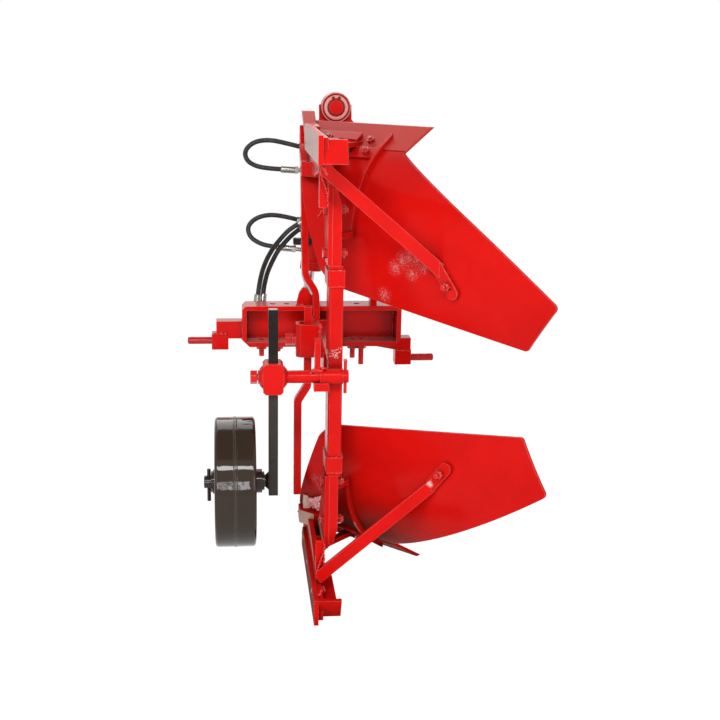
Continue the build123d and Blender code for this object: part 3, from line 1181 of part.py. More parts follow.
nodes = {
    "headstock_tray": make_tray(),
    "turnover_housing": make_housing(),
    "shaft_bushes": Compound([rear_bush, front_bush]),
    "mast_strap_left": make_strap_left(),
    "mast_strap_right": make_strap_right(),
    "mast_head": make_mast_head(),
    "cylinder_pivot_pin": make_pivot_pin(),
    "pivot_circlips": make_circlips(),
    "top_link_clevis": make_top_link(),
    "hitch_arm_left": make_arm_left(),
    "hitch_arm_right": make_arm_right(),
    "hitch_pin_left": make_link_pin(LEFT_SHOULDER, LEFT_PIN_Z, -1),
    "hitch_pin_right": make_link_pin(RIGHT_SHOULDER, RIGHT_PIN_Z, 1),
    "tray_bolts": make_tray_bolts(),
    "quick_couplers": make_couplers(),
    "supply_hose_left": make_hose(SUPPLY_LEFT),
    "supply_hose_right": make_hose(SUPPLY_RIGHT),
    "cylinder_barrel": make_barrel(),
    "cylinder_gland": make_gland(),
    "valve_block": make_valve(),
    "hose_fittings": make_hose_fittings(),
    "loop_hose_upper": make_hose(LOOP_UPPER),
    "loop_hose_lower": make_hose(LOOP_LOWER),
    "cylinder_rod": make_rod(),
    "rod_eye": make_rod_eye(),
    "rod_eye_pin": make_crank_pin(),
    "main_beam": make_main_beam(),
    "turnover_shaft": make_shaft(),
    "crank": make_crank(),
    "standard": make_standard(),
    "standard_collars": Compound([make_collar(), flipped(make_collar())]),
    "plough_bolts": Compound([*lower_bolts.solids(), *[flipped(b) for b in lower_bolts.solids()]]),
    "frame_bolts": Compound([*frame_bolts, *[flipped(b) for b in frame_bolts]]),
    "wheel_boss": make_wheel_boss(),
    "stand_socket": make_stand_socket(),
    "stand_screw": make_stand_screw(),
    "parking_stand": make_parking_stand(),
    "cross_shaft": make_cross_shaft(),
    "wheel_clamp": make_wheel_clamp(),
    "shaft_pin": make_shaft_pin(),
    "clamp_screw": make_clamp_screw(),
    "wheel_bar": make_wheel_bar(),
    "wheel_axle": make_axle(),
    "axle_retainer": Compound([make_washer(), make_cotter()]),
    "wheel_shell_left": make_wheel_half(-1),
    "wheel_shell_right": make_wheel_half(1),
    "wheel_hub": make_hub(),
    "hub_bushes": Compound([left_hub_bush, right_hub_bush]),
}
for name in lower_body:
    nodes[name + "_lower"] = lower_body[name]
    nodes[name + "_upper"] = flipped(upper_body[name])

# The files are written about the middle of the lower landside's sole
SOLE_MIDDLE = (-LANDSIDE_THICK / 2, -LANDSIDE_LENGTH / 2, 0)
os.makedirs("parts", exist_ok=True)
for name, solid in nodes.items():
    export_step(Pos(*SOLE_MIDDLE) * solid, os.path.join("parts", name + ".step"))
print("turnover cylinder: length %.1f, lean %.2f degrees" % (CYL_LENGTH, CYL_LEAN))
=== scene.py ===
import bpy
import bmesh
import math
import random
from mathutils import Matrix, Vector


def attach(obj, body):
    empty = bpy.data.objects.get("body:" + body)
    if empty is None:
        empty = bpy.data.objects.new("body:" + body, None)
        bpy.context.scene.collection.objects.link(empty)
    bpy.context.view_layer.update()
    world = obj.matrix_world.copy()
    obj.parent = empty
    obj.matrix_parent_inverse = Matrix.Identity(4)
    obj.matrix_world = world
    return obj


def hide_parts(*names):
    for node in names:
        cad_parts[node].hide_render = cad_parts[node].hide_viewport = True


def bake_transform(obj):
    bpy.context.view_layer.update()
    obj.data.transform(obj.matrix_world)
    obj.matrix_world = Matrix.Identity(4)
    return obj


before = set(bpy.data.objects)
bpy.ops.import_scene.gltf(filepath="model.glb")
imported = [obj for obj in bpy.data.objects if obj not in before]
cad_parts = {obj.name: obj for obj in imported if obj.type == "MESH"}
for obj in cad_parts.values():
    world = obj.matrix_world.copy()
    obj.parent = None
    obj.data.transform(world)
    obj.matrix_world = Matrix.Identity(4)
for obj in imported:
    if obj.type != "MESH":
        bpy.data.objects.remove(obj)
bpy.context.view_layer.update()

# Headstock: a tray-shaped beam of welded plate with the turnover housing through it, two mast straps and the
# hitch arms. It is all mild steel under a thick coat of bright red gloss, sprayed on after welding.
RED = (0.76, 0.008, 0.006)
RED_DEEP = (0.52, 0.004, 0.003)
# Colours of the painted glint on sharp edges and of the painted shade in corners.
EDGE_GLINT = (0.95, 0.26, 0.22)
CORNER_SHADE = (0.15, 0.006, 0.003)
# Colour of the painted sheen on level tops, which stands for the room's reflection.
TOP_SHEEN = (0.84, 0.60, 0.54)


def new_group(name, inputs, outputs):
    """A shader node group with named sockets, and its input and output nodes."""
    group = bpy.data.node_groups.new(name, "ShaderNodeTree")
    for label, kind, value in inputs:
        socket = group.interface.new_socket(name=label, in_out="INPUT", socket_type=kind)
        socket.default_value = value
    for label, kind in outputs:
        group.interface.new_socket(name=label, in_out="OUTPUT", socket_type=kind)
    return group, group.nodes.new("NodeGroupInput"), group.nodes.new("NodeGroupOutput")


def coordinates(tree):
    """The outputs of a tree's own texture coordinates."""
    return tree.nodes.new("ShaderNodeTexCoord").outputs


def axes_of(tree, vector):
    """The X, Y and Z outputs of a vector."""
    node = tree.nodes.new("ShaderNodeSeparateXYZ")
    tree.links.new(vector, node.inputs["Vector"])
    return node.outputs


def noise_in(tree, place, scale, detail, roughness=0.5):
    """Noise with so many grains to the metre."""
    node = tree.nodes.new("ShaderNodeTexNoise")
    node.inputs["Scale"].default_value = scale
    node.inputs["Detail"].default_value = detail
    node.inputs["Roughness"].default_value = roughness
    tree.links.new(place, node.inputs["Vector"])
    return node.outputs["Fac"]


def ranged(tree, value, low, high, to_low, to_high):
    """A value between two limits, brought between two others."""
    node = tree.nodes.new("ShaderNodeMapRange")
    for socket, number in (("From Min", low), ("From Max", high), ("To Min", to_low), ("To Max", to_high)):
        node.inputs[socket].default_value = number
    tree.links.new(value, node.inputs["Value"])
    return node.outputs["Result"]


def mixed(tree, factor, first, second):
    """A colour mixed from two, each a linked socket or a written colour."""
    node = tree.nodes.new("ShaderNodeMix")
    node.data_type = "RGBA"
    tree.links.new(factor, node.inputs["Factor"])
    for value, socket in ((first, node.inputs["A"]), (second, node.inputs["B"])):
        if isinstance(value, tuple):
            socket.default_value = (*value, 1)
        else:
            tree.links.new(value, socket)
    return node.outputs["Result"]


def summed(tree, first, second, operation="ADD"):
    """A sum, or another operation, on two values, each a linked socket or a number."""
    node = tree.nodes.new("ShaderNodeMath")
    node.operation = operation
    for value, socket in ((first, node.inputs[0]), (second, node.inputs[1])):
        if isinstance(value, (int, float)):
            socket.default_value = value
        else:
            tree.links.new(value, socket)
    return node.outputs["Value"]


# The sprayed film: slow drift of tone, handling marks in the gloss, and the fine ripple of thick paint.
TONE_GRAINS = 7.0
TONE_RANGE = (0.40, 0.72, 0.0, 0.45)
MARK_GRAINS = 55.0
MARK_RANGE = (0.46, 0.70, 0.0, 1.0)
RIPPLE_GRAINS = 260.0
RIPPLE_DEPTH = 0.00006
paint_film, film_in, film_out = new_group(
    "paint_film",
    [("Colour", "NodeSocketColor", (*RED, 1)), ("Deep colour", "NodeSocketColor", (*RED_DEEP, 1)),
     ("Gloss low", "NodeSocketFloat", 0.22), ("Gloss high", "NodeSocketFloat", 0.40),
     ("Ripple size", "NodeSocketFloat", RIPPLE_GRAINS), ("Marks", "NodeSocketFloat", 0.5)],
    [("Colour", "NodeSocketColor"), ("Roughness", "NodeSocketFloat"), ("Height", "NodeSocketFloat")])
film_place = coordinates(paint_film)["Object"]
tone = ranged(paint_film, noise_in(paint_film, film_place, TONE_GRAINS, 4.0), *TONE_RANGE)
film_mix = mixed(paint_film, tone, film_in.outputs["Colour"], film_in.outputs["Deep colour"])
paint_film.links.new(film_mix, film_out.inputs["Colour"])
marks = ranged(paint_film, noise_in(paint_film, film_place, MARK_GRAINS, 6.0, 0.62), *MARK_RANGE)
marks = summed(paint_film, marks, film_in.outputs["Marks"], "MULTIPLY")
gloss_span = summed(paint_film, film_in.outputs["Gloss high"], film_in.outputs["Gloss low"], "SUBTRACT")
dulled = summed(paint_film, marks, gloss_span, "MULTIPLY")
paint_film.links.new(summed(paint_film, dulled, film_in.outputs["Gloss low"]), film_out.inputs["Roughness"])
ripple = paint_film.nodes.new("ShaderNodeTexNoise")
ripple.inputs["Detail"].default_value = 2.0
paint_film.links.new(film_place, ripple.inputs["Vector"])
paint_film.links.new(film_in.outputs["Ripple size"], ripple.inputs["Scale"])
paint_film.links.new(ripple.outputs["Fac"], film_out.inputs["Height"])

# A painted sheen on level tops: a light pink that stands for the room's reflection, stronger in some places than in
# others.
LEVEL_RANGE = (0.80, 0.98, 0.0, 1.0)
SHEEN_GRAINS = 24.0
SHEEN_RANGE = (0.3, 0.7, 0.6, 1.0)
level_top_sheen, sheen_in, sheen_out = new_group(
    "level_top_sheen", [("Colour", "NodeSocketColor", (*RED, 1)), ("Amount", "NodeSocketFloat", 0.2)],
    [("Colour", "NodeSocketColor")])
sheen_places = coordinates(level_top_sheen)
sheen_top = ranged(level_top_sheen, axes_of(level_top_sheen, sheen_places["Normal"])["Z"], *LEVEL_RANGE)
sheen_depth = ranged(level_top_sheen, noise_in(level_top_sheen, sheen_places["Object"], SHEEN_GRAINS, 4.0), *SHEEN_RANGE)
sheen_lying = summed(level_top_sheen, sheen_top, sheen_depth, "MULTIPLY")
sheen_share = summed(level_top_sheen, sheen_lying, sheen_in.outputs["Amount"], "MULTIPLY")
level_top_sheen.links.new(mixed(level_top_sheen, sheen_share, sheen_in.outputs["Colour"], TOP_SHEEN),
                       sheen_out.inputs["Colour"])


def new_material(name):
    """A material with its node tree and its shader."""
    material = bpy.data.materials.new(name)
    material.use_nodes = True
    return material, material.node_tree, material.node_tree.nodes["Principled BSDF"]


def placed(tree, group, **values):
    """A node group in a material, with values for its inputs."""
    node = tree.nodes.new("ShaderNodeGroup")
    node.node_tree = group
    for label, value in values.items():
        socket = node.inputs[label.replace("_", " ").capitalize()]
        socket.default_value = (*value, 1) if socket.type == "RGBA" else value
    return node


def rounded_edges(tree, radius):
    """The normal of a surface whose sharp edges are rounded by the paint."""
    edge = tree.nodes.new("ShaderNodeBevel")
    edge.samples = 4
    edge.inputs["Radius"].default_value = radius
    return edge.outputs["Normal"]


def bumped(tree, shader, height, distance, normal=None):
    """Height as a bump on the shader's normal, over rounded edges where these are given."""
    bump = tree.nodes.new("ShaderNodeBump")
    bump.inputs["Distance"].default_value = distance
    tree.links.new(height, bump.inputs["Height"])
    if normal:
        tree.links.new(normal, bump.inputs["Normal"])
    tree.links.new(bump.outputs["Normal"], shader.inputs["Normal"])


EDGE_RANGE = (0.98, 0.82, 0.0, 0.6)     # from the edge's turn to how strong the painted glint is
CORNER_RANGE = (0.12, 0.80, 0.0, 1.0)   # from the open space round a place to how little painted shade it gets
CORNER_REACH = 0.07


def glint_and_shade(tree, colour, normal, glint_colour=EDGE_GLINT, shade_colour=CORNER_SHADE):
    """A paint's colour, with a painted glint over sharp edges and painted shade in the corners."""
    turn = tree.nodes.new("ShaderNodeVectorMath")
    turn.operation = "DOT_PRODUCT"
    tree.links.new(normal, turn.inputs[0])
    tree.links.new(tree.nodes.new("ShaderNodeNewGeometry").outputs["Normal"], turn.inputs[1])
    glint = ranged(tree, turn.outputs["Value"], *EDGE_RANGE)
    corner = tree.nodes.new("ShaderNodeAmbientOcclusion")
    corner.samples = 6
    corner.inputs["Distance"].default_value = CORNER_REACH
    clear = ranged(tree, corner.outputs["AO"], *CORNER_RANGE)
    return mixed(tree, summed(tree, glint, clear, "MULTIPLY"), mixed(tree, clear, shade_colour, colour), glint_colour)


def painted(name, colour, deep, gloss, ripple_size=RIPPLE_GRAINS, ripple_depth=RIPPLE_DEPTH, edge_radius=0.0024,
            mirror=0.11, glint_colour=EDGE_GLINT, shade_colour=CORNER_SHADE, sheen=0.06):
    """A sprayed paint, with its gloss between two roughnesses and the share of painted sheen on its level tops."""
    material, tree, shader = new_material(name)
    film = placed(tree, paint_film, colour=colour, deep_colour=deep, gloss_low=gloss[0], gloss_high=gloss[1],
                  ripple_size=ripple_size)
    edges = rounded_edges(tree, edge_radius)
    sheened = placed(tree, level_top_sheen, amount=sheen)
    tree.links.new(glint_and_shade(tree, film.outputs["Colour"], edges, glint_colour, shade_colour), sheened.inputs["Colour"])
    tree.links.new(sheened.outputs["Colour"], shader.inputs["Base Color"])
    tree.links.new(film.outputs["Roughness"], shader.inputs["Roughness"])
    shader.inputs["Specular IOR Level"].default_value = mirror
    bumped(tree, shader, film.outputs["Height"], ripple_depth, edges)
    return material


def finished(nodes, material):
    """Gives CAD nodes their material."""
    for name in nodes:
        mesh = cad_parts[name].data
        mesh.materials.clear()
        mesh.materials.append(material)


# Each paint that painted() makes has a painted glint over sharp edges, painted shade in its corners and a painted
# sheen on level tops.
red_gloss = painted("red_gloss", RED, RED_DEEP, gloss=(0.18, 0.34))
# The tray, the left strap and the arms have a strong painted sheen on their level tops.
thick_gloss = painted("thick_gloss", RED, RED_DEEP, gloss=(0.14, 0.28), ripple_size=200.0, ripple_depth=0.00010,
                      edge_radius=0.0026, mirror=0.12, sheen=0.5)
# The bolts' paint has a brighter painted glint on its edges and a darker painted shade in its corners.
bolt_red = painted("bolt_red", RED, RED_DEEP, gloss=(0.10, 0.22), edge_radius=0.0030, mirror=0.30,
                   glint_colour=(1.0, 0.48, 0.43), shade_colour=(0.08, 0.003, 0.002))
finished(["turnover_housing", "mast_strap_right", "mast_head", "top_link_clevis"], red_gloss)
finished(["tray_bolts"], bolt_red)
finished(["headstock_tray", "mast_strap_left", "hitch_arm_left", "hitch_arm_right"], thick_gloss)

# Welds of the headstock: hand-laid runs where the straps, the arms and the tray's plates meet, painted over with
# the rest. Each is a row of overlapping drops of uneven size.
SOLE_MIDDLE = Vector((-0.006, -0.2675, 0.0))
DROP_STEP = 0.8         # from one drop to the next, as a share of their size
DROP_LEAST = 0.55       # the smallest drop's share of the largest
DROP_FACES = (8, 5)
EVEN_SPREAD = (0.3, 0.3, 0.3)
chance = random.Random(11)
weld_red = painted("weld_red", (0.82, 0.022, 0.017), RED, gloss=(0.14, 0.26), ripple_size=420.0,
                   ripple_depth=0.0005, edge_radius=0.0005, mirror=0.3)


def at(x, y, z):
    """A place given in the millimetres of the drawing, in metres about the middle of the landside's sole."""
    return Vector((x / 1000, y / 1000, z / 1000)) + SOLE_MIDDLE


def new_piece(name, shape, material, body, smooth=True):
    """Makes a piece of a shape, which rides on a body."""
    data = bpy.data.meshes.new(name)
    shape.to_mesh(data)
    shape.free()
    data.polygons.foreach_set("use_smooth", [smooth] * len(data.polygons))
    data.materials.append(material)
    obj = bpy.data.objects.new(name, data)
    bpy.context.scene.collection.objects.link(obj)
    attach(obj, body)
    return obj


def weld_runs(name, body, runs, spread=EVEN_SPREAD, material=weld_red):
    """Rows of drops, each from a start to an end, with the drops' size in millimetres and how far they stray."""
    shape = bmesh.new()
    for start, end, size in runs:
        first, last = at(*start), at(*end)
        count = max(1, round((last - first).length * 1000 / (DROP_STEP * size)))
        for number in range(count + 1):
            radius = size / 1000 * chance.uniform(DROP_LEAST, 1.0)
            stray = Vector([chance.uniform(-reach, reach) for reach in spread]) * size / 1000
            place = Matrix.Translation(first.lerp(last, number / count) + stray)
            bmesh.ops.create_uvsphere(shape, u_segments=DROP_FACES[0], v_segments=DROP_FACES[1], radius=radius,
                                      matrix=place)
    return new_piece(name, shape, material, body)


weld_runs("headstock_welds", "headstock", (
    ((-158, 689, 618), (16, 689, 618), 4), ((114, 689, 618), (286, 689, 618), 4),
    ((-160, 689, 622), (-160, 689, 710), 4), ((287, 689, 622), (287, 689, 710), 4),
    ((-12, 640, 729), (4, 640, 729), 5), ((28, 638, 731), (50, 638, 731), 5),
    ((33, 606, 674), (56, 606, 684), 6), ((34, 607, 684), (34, 607, 700), 5),
    ((-178, 646, 626), (-178, 646, 677), 5), ((206, 646, 602), (280, 646, 600), 4),
    ((-258, 646, 640), (-224, 646, 640), 5), ((296, 646, 584), (334, 646, 584), 4)))

# Pivot of the cylinder in the mast head: a turned boss with a pin through it, held by a spring clip with two ears
# and a flat washer. The washer and the rim are a light pink, a painted reflection, and the clip near black, painted
# shade.
EYE = (115.0, 828.0, 1304.0)
WASHER = (27.4, 36.6, 1.9)      # inner and outer radius, and thickness
RIM = (42.0, 44.8, 0.8)
RING_CHAMFER = 0.6              # as a share of the thickness
RING_STEPS = 48
washer_glint = painted("washer_glint", (0.86, 0.36, 0.32), (0.78, 0.14, 0.11), gloss=(0.24, 0.40), mirror=0.5)
clip_shade = painted("clip_shade", (0.16, 0.012, 0.009), (0.07, 0.005, 0.004), gloss=(0.24, 0.40), mirror=0.3)
finished(["cylinder_pivot_pin"], red_gloss)
finished(["pivot_circlips"], clip_shade)


def turned(outline, steps):
    """A ring turned about Z from a closed outline of (radius, height) points in millimetres."""
    shape = bmesh.new()
    corners = [shape.verts.new((radius / 1000, 0, height / 1000)) for radius, height in outline]
    sides = [shape.edges.new(pair) for pair in zip(corners, corners[1:] + corners[:1])]
    bmesh.ops.spin(shape, geom=corners + sides, cent=(0, 0, 0), axis=(0, 0, 1), dvec=(0, 0, 0),
                   angle=2 * math.pi, steps=steps, use_merge=True, use_normal_flip=False, use_duplicate=False)
    bmesh.ops.remove_doubles(shape, verts=shape.verts, dist=1e-6)
    bmesh.ops.recalc_face_normals(shape, faces=shape.faces)
    return shape


def facing(place, way):
    """The turn and place that bring a shape's Z axis to a direction."""
    return Matrix.Translation(place) @ Vector(way).to_track_quat("Z", "Y").to_matrix().to_4x4()


for ring_name, (inside, outside, thick) in (("pivot_washer", WASHER), ("pivot_rim", RIM)):
    chamfer = RING_CHAMFER * thick
    ring = turned([(inside, 0), (outside, 0), (outside, chamfer), (outside - chamfer, thick), (inside, thick)],
                  RING_STEPS)
    ring.transform(facing(at(*EYE), (0, -1, 0)))
    new_piece(ring_name, ring, washer_glint, "headstock", smooth=False)

# Hitch pins: turned steel bars welded into the hitch arms, which carry the tractor's lower links. They are dipped
# in a darker red than the frame.
pin_red = painted("pin_red", (0.62, 0.016, 0.016), (0.42, 0.008, 0.008), gloss=(0.14, 0.28), mirror=0.24)
finished(["hitch_pin_left", "hitch_pin_right"], pin_red)

# Bushes and plain steel: cast bronze bushes pressed into the housing and the hub, a ground shaft, a chromed rod
# and its pin. The fittings and couplers of the hoses are turned and plated with zinc.
METAL_SHADE = 0.6       # of the colour, where the metal is dull
METAL_EDGE = 0.0006
METAL_GRAIN_DEPTH = 0.00001


def metal(name, colour, gloss, grain):
    """A bare or plated metal, with so many grains to the metre."""
    material, tree, shader = new_material(name)
    film = placed(tree, paint_film, colour=colour, deep_colour=tuple(METAL_SHADE * c for c in colour),
                  gloss_low=gloss[0], gloss_high=gloss[1], ripple_size=grain)
    tree.links.new(film.outputs["Colour"], shader.inputs["Base Color"])
    tree.links.new(film.outputs["Roughness"], shader.inputs["Roughness"])
    shader.inputs["Metallic"].default_value = 1.0
    bumped(tree, shader, film.outputs["Height"], METAL_GRAIN_DEPTH, rounded_edges(tree, METAL_EDGE))
    return material


bronze = metal("bush_bronze", (0.55, 0.36, 0.15), gloss=(0.30, 0.50), grain=900.0)
ground_steel = metal("ground_steel", (0.56, 0.56, 0.55), gloss=(0.14, 0.30), grain=1200.0)
zinc = metal("zinc_plate", (0.34, 0.34, 0.31), gloss=(0.28, 0.46), grain=300.0)
finished(["shaft_bushes", "hub_bushes"], bronze)
finished(["turnover_shaft", "cylinder_rod", "rod_eye_pin"], ground_steel)
finished(["hose_fittings", "quick_couplers"], zinc)

# Turnover cylinder: a drawn steel barrel with a screwed gland, painted red and hung from the mast head by its eye.
# A cast valve block is bolted to its left side and painted black.
# The painted shade in the corners of black paint.
DARK_CORNER_SHADE = (0.008, 0.007, 0.006)
black_satin = painted("black_satin", (0.022, 0.020, 0.018), (0.012, 0.011, 0.010), gloss=(0.34, 0.55),
                      glint_colour=(0.10, 0.10, 0.09), shade_colour=DARK_CORNER_SHADE)
finished(["cylinder_barrel", "cylinder_gland", "rod_eye"], red_gloss)
finished(["valve_block"], black_satin)

# Hydraulic hoses: black rubber with a wrapped cover, crimped at both ends. Two loops join the valve and the
# barrel's ports, and two longer ones run from the valve down to the couplers in front of the beam.
HOSE_DIAMETER = 0.015
HOSE_BLACK = (0.020, 0.020, 0.019)
HOSE_GREY = (0.045, 0.044, 0.040)
HOSE_GRAINS = 420.0
HOSE_GRAIN_DEPTH = 0.0003
HOSE_GLOSS_RANGE = (0.3, 0.7, 0.30, 0.48)
HOSE_TONES = 30.0
HOSE_TONE_RANGE = (0.35, 0.7, 0.0, 1.0)
HOSE_MIRROR = 0.25
LOOP_UPPER = [at(*p) for p in (
    (16, 905, 1178), (-38, 907, 1191), (-88, 909, 1200), (-134, 910, 1193), (-163, 909, 1166),
    (-158, 907, 1136), (-130, 906, 1118), (-88, 905, 1111), (-46, 905, 1109))]
LOOP_LOWER = [at(*p) for p in (
    (6, 914, 949), (-40, 912, 961), (-88, 910, 966), (-130, 907, 955), (-156, 904, 928),
    (-149, 899, 897), (-122, 895, 878), (-90, 892, 868), (-50, 890, 864))]
SUPPLY_LEFT = [at(*p) for p in (
    (7, 886, 941), (-22, 884, 924), (-47, 876, 899), (-70, 860, 875), (-93, 837, 843),
    (-109, 811, 811), (-119, 784, 778), (-124, 766, 752), (-127, 756, 732))]
SUPPLY_RIGHT = [at(*p) for p in (
    (11, 905, 921), (-14, 893, 905), (-37, 874, 884), (-60, 860, 860), (-79, 845, 827),
    (-95, 826, 795), (-103, 803, 770), (-108, 787, 750), (-110, 779, 731))]

hose_rubber, hose_tree, hose_shader = new_material("hose_rubber")
hose_place = coordinates(hose_tree)["Object"]
hose_grain = noise_in(hose_tree, hose_place, HOSE_GRAINS, 3.0)
hose_tone = ranged(hose_tree, noise_in(hose_tree, hose_place, HOSE_TONES, 4.0), *HOSE_TONE_RANGE)
hose_tree.links.new(mixed(hose_tree, hose_tone, HOSE_BLACK, HOSE_GREY), hose_shader.inputs["Base Color"])
hose_tree.links.new(ranged(hose_tree, hose_grain, *HOSE_GLOSS_RANGE), hose_shader.inputs["Roughness"])
hose_shader.inputs["Specular IOR Level"].default_value = HOSE_MIRROR
bumped(hose_tree, hose_shader, hose_grain, HOSE_GRAIN_DEPTH)


def hose_curve(name, route, bevel):
    """An open spline along a route of points, as a smooth NURBS line with the points as its controls."""
    curve = bpy.data.curves.new(name, "CURVE")
    curve.dimensions = "3D"
    curve.resolution_u = 12
    curve.bevel_depth = bevel
    curve.bevel_resolution = 6
    curve.use_fill_caps = True
    spline = curve.splines.new("NURBS")
    spline.points.add(len(route) - 1)
    for point, place in zip(spline.points, route):
        point.co = (*place, 1)
    spline.order_u = 3
    spline.use_endpoint_u = True
    obj = bpy.data.objects.new(name, curve)
    bpy.context.scene.collection.objects.link(obj)
    return obj


def loop_hose(name, route, node):
    """A hose with both ends on the cylinder, as a curve."""
    obj = hose_curve(name, route, HOSE_DIAMETER / 2)
    obj.data.materials.append(hose_rubber)
    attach(obj, "cylinder")
    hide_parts(node)


def supply_hose(name, route, node):
    """A hose between the fixed headstock and the swinging cylinder, as a mesh that moves with neither."""
    line = hose_curve(name + "_line", route, 0.0)
    path = [tuple(v.co) for v in bpy.data.meshes.new_from_object(line).vertices]
    bpy.data.objects.remove(line)
    tube = hose_curve(name + "_tube", route, HOSE_DIAMETER / 2)
    mesh = bpy.data.meshes.new_from_object(tube)
    bpy.data.objects.remove(tube)
    obj = bpy.data.objects.new(name, mesh)
    bpy.context.scene.collection.objects.link(obj)
    mesh.polygons.foreach_set("use_smooth", [True] * len(mesh.polygons))
    mesh.materials.clear()
    mesh.materials.append(hose_rubber)
    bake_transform(obj)
    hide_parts(node)


loop_hose("hose_loop_upper", LOOP_UPPER, node="loop_hose_upper")
loop_hose("hose_loop_lower", LOOP_LOWER, node="loop_hose_lower")
supply_hose("hose_supply_left", SUPPLY_LEFT, node="supply_hose_left")
supply_hose("hose_supply_right", SUPPLY_RIGHT, node="supply_hose_right")

# Crimped sleeves: zinc-plated steel tubes pushed over the hoses' ends and squeezed on them in a die, which leaves
# rings round them. Each holds a hose on its fitting.
SLEEVE_RADIUS = 11.8
SLEEVE_BORE = 7.6
SLEEVE_STEPS = 20
RING_PITCH = 5.0
RING_DEPTH = 1.3
for sleeve_name, (end, inner, *_), grip, reach, body in (
        ("sleeve_upper_a", LOOP_UPPER, 6, 22, "cylinder"),
        ("sleeve_upper_b", LOOP_UPPER[::-1], 4, 40, "cylinder"),
        ("sleeve_lower_a", LOOP_LOWER, 4, 10, "cylinder"),
        ("sleeve_lower_b", LOOP_LOWER[::-1], 15, 24, "cylinder"),
        ("sleeve_supply_left", SUPPLY_LEFT, 4, 10, "cylinder"),
        ("sleeve_supply_right", SUPPLY_RIGHT, 4, 10, "cylinder"),
        ("sleeve_coupler_left", SUPPLY_LEFT[::-1], 4, 20, "headstock"),
        ("sleeve_coupler_right", SUPPLY_RIGHT[::-1], 4, 20, "headstock")):
    along = (end - inner).normalized()
    whole = grip + reach
    rings = max(2, round(whole / RING_PITCH))
    ringed_side = [(SLEEVE_RADIUS - RING_DEPTH * (step % 2), whole * step / (2 * rings))
                   for step in range(2 * rings + 1)]
    sleeve = turned([(SLEEVE_BORE, whole), (SLEEVE_BORE, 0), *ringed_side], SLEEVE_STEPS)
    sleeve.transform(facing(end - along * grip / 1000, along))
    new_piece(sleeve_name, sleeve, zinc, body)

# Turning frame: the square main beam and crank on the turnover shaft, the heavy standard across its rear end,
# and the collars that tie the legs of both bodies to it. The joints are welded by hand and left rough.
BOSS_SPREAD = (1.3, 0.1, 1.3)
SIDE_SPREAD = (0.1, 1.2, 1.2)
finished(["main_beam", "crank", "standard", "standard_collars", "wheel_boss", "stand_socket", "parking_stand"],
         red_gloss)
finished(["frame_bolts", "stand_screw"], bolt_red)
# The spatter's light pink is a painted glint.
spatter_glint = painted("spatter_glint", (0.93, 0.50, 0.44), (0.84, 0.10, 0.08), gloss=(0.18, 0.30),
                       ripple_size=420.0, ripple_depth=0.0004, edge_radius=0.0004, mirror=0.5)
weld_runs("frame_welds", "turning_frame", (
    ((5, 152, 654), (24, 152, 654), 6), ((6, 154, 660), (22, 158, 660), 6),
    ((-6, 151, 648), (2, 151, 652), 5), ((26, 152, 660), (38, 154, 660), 5),
    ((40, 422, 715), (40, 422, 622), 6), ((43, 421, 712), (43, 421, 680), 5),
    ((45, 187, 400), (85, 187, 400), 4), ((45, 187, 357), (85, 187, 357), 4),
    ((45, 187, 870), (85, 187, 870), 4), ((45, 187, 913), (85, 187, 913), 4)))
weld_runs("boss_spatter", "turning_frame", (
    ((51, 190, 683), (66, 190, 680), 2.4), ((52, 190, 690), (64, 190, 694), 2.4),
    ((62, 190, 687), (76, 190, 697), 2.4), ((66, 190, 702), (79, 190, 704), 2.4),
    ((54, 190, 697), (60, 190, 699), 2.0), ((68, 190, 684), (72, 190, 679), 2.0),
    ((60, 190, 686), (70, 190, 686), 3.4)), BOSS_SPREAD, spatter_glint)
weld_runs("standard_spatter", "turning_frame", (
    ((46, 206, 672), (46, 262, 680), 3), ((46, 210, 682), (46, 236, 690), 3)), SIDE_SPREAD, spatter_glint)

# The two plough bodies: rolled mouldboards, forged share and bar point, and the welded frog behind them. The boards
# are rough with spatter on their backs, where the frog's straps are welded to them. The spatter's bright colour is
# a painted highlight, and the lower board has painted shade low down.
TURN_HEIGHT = 1270.0    # a point and its mirror about the turnover axis have heights with this sum
BODY_GLOSS = (0.18, 0.34)
SPECK_GRAINS = 320.0
SPECK_CROWD = 0.20
SPECK_RANGE = (0.66, 0.74, 0.0, 1.0)
NEAR_RANGE = (0.10, 1.0, 1.0, 0.0)      # from the distance, as a share of the reach
SKIRT_RANGE = (0.0, 0.10, 0.0, 1.0)
scuff_patch, scuff_in, scuff_out = new_group(
    "scuff_patch", [("Place", "NodeSocketVector", (0, 0, 0)), ("Reach", "NodeSocketFloat", 0.02),
                    ("Solid", "NodeSocketFloat", 0.0)],
    [("Mask", "NodeSocketFloat")])
scuff_place = coordinates(scuff_patch)["Object"]
gap = scuff_patch.nodes.new("ShaderNodeVectorMath")
gap.operation = "DISTANCE"
scuff_patch.links.new(scuff_place, gap.inputs[0])
scuff_patch.links.new(scuff_in.outputs["Place"], gap.inputs[1])
share_of_reach = summed(scuff_patch, gap.outputs["Value"], scuff_in.outputs["Reach"], "DIVIDE")
near = ranged(scuff_patch, share_of_reach, *NEAR_RANGE)
crowd = summed(scuff_patch, noise_in(scuff_patch, scuff_place, SPECK_GRAINS, 3.0),
               summed(scuff_patch, near, SPECK_CROWD, "MULTIPLY"))
specks = summed(scuff_patch, ranged(scuff_patch, crowd, *SPECK_RANGE),
                ranged(scuff_patch, near, *SKIRT_RANGE), "MULTIPLY")
veil = summed(scuff_patch, near, scuff_in.outputs["Solid"], "MULTIPLY")
scuff_patch.links.new(summed(scuff_patch, specks, veil, "MAXIMUM"), scuff_out.inputs["Mask"])

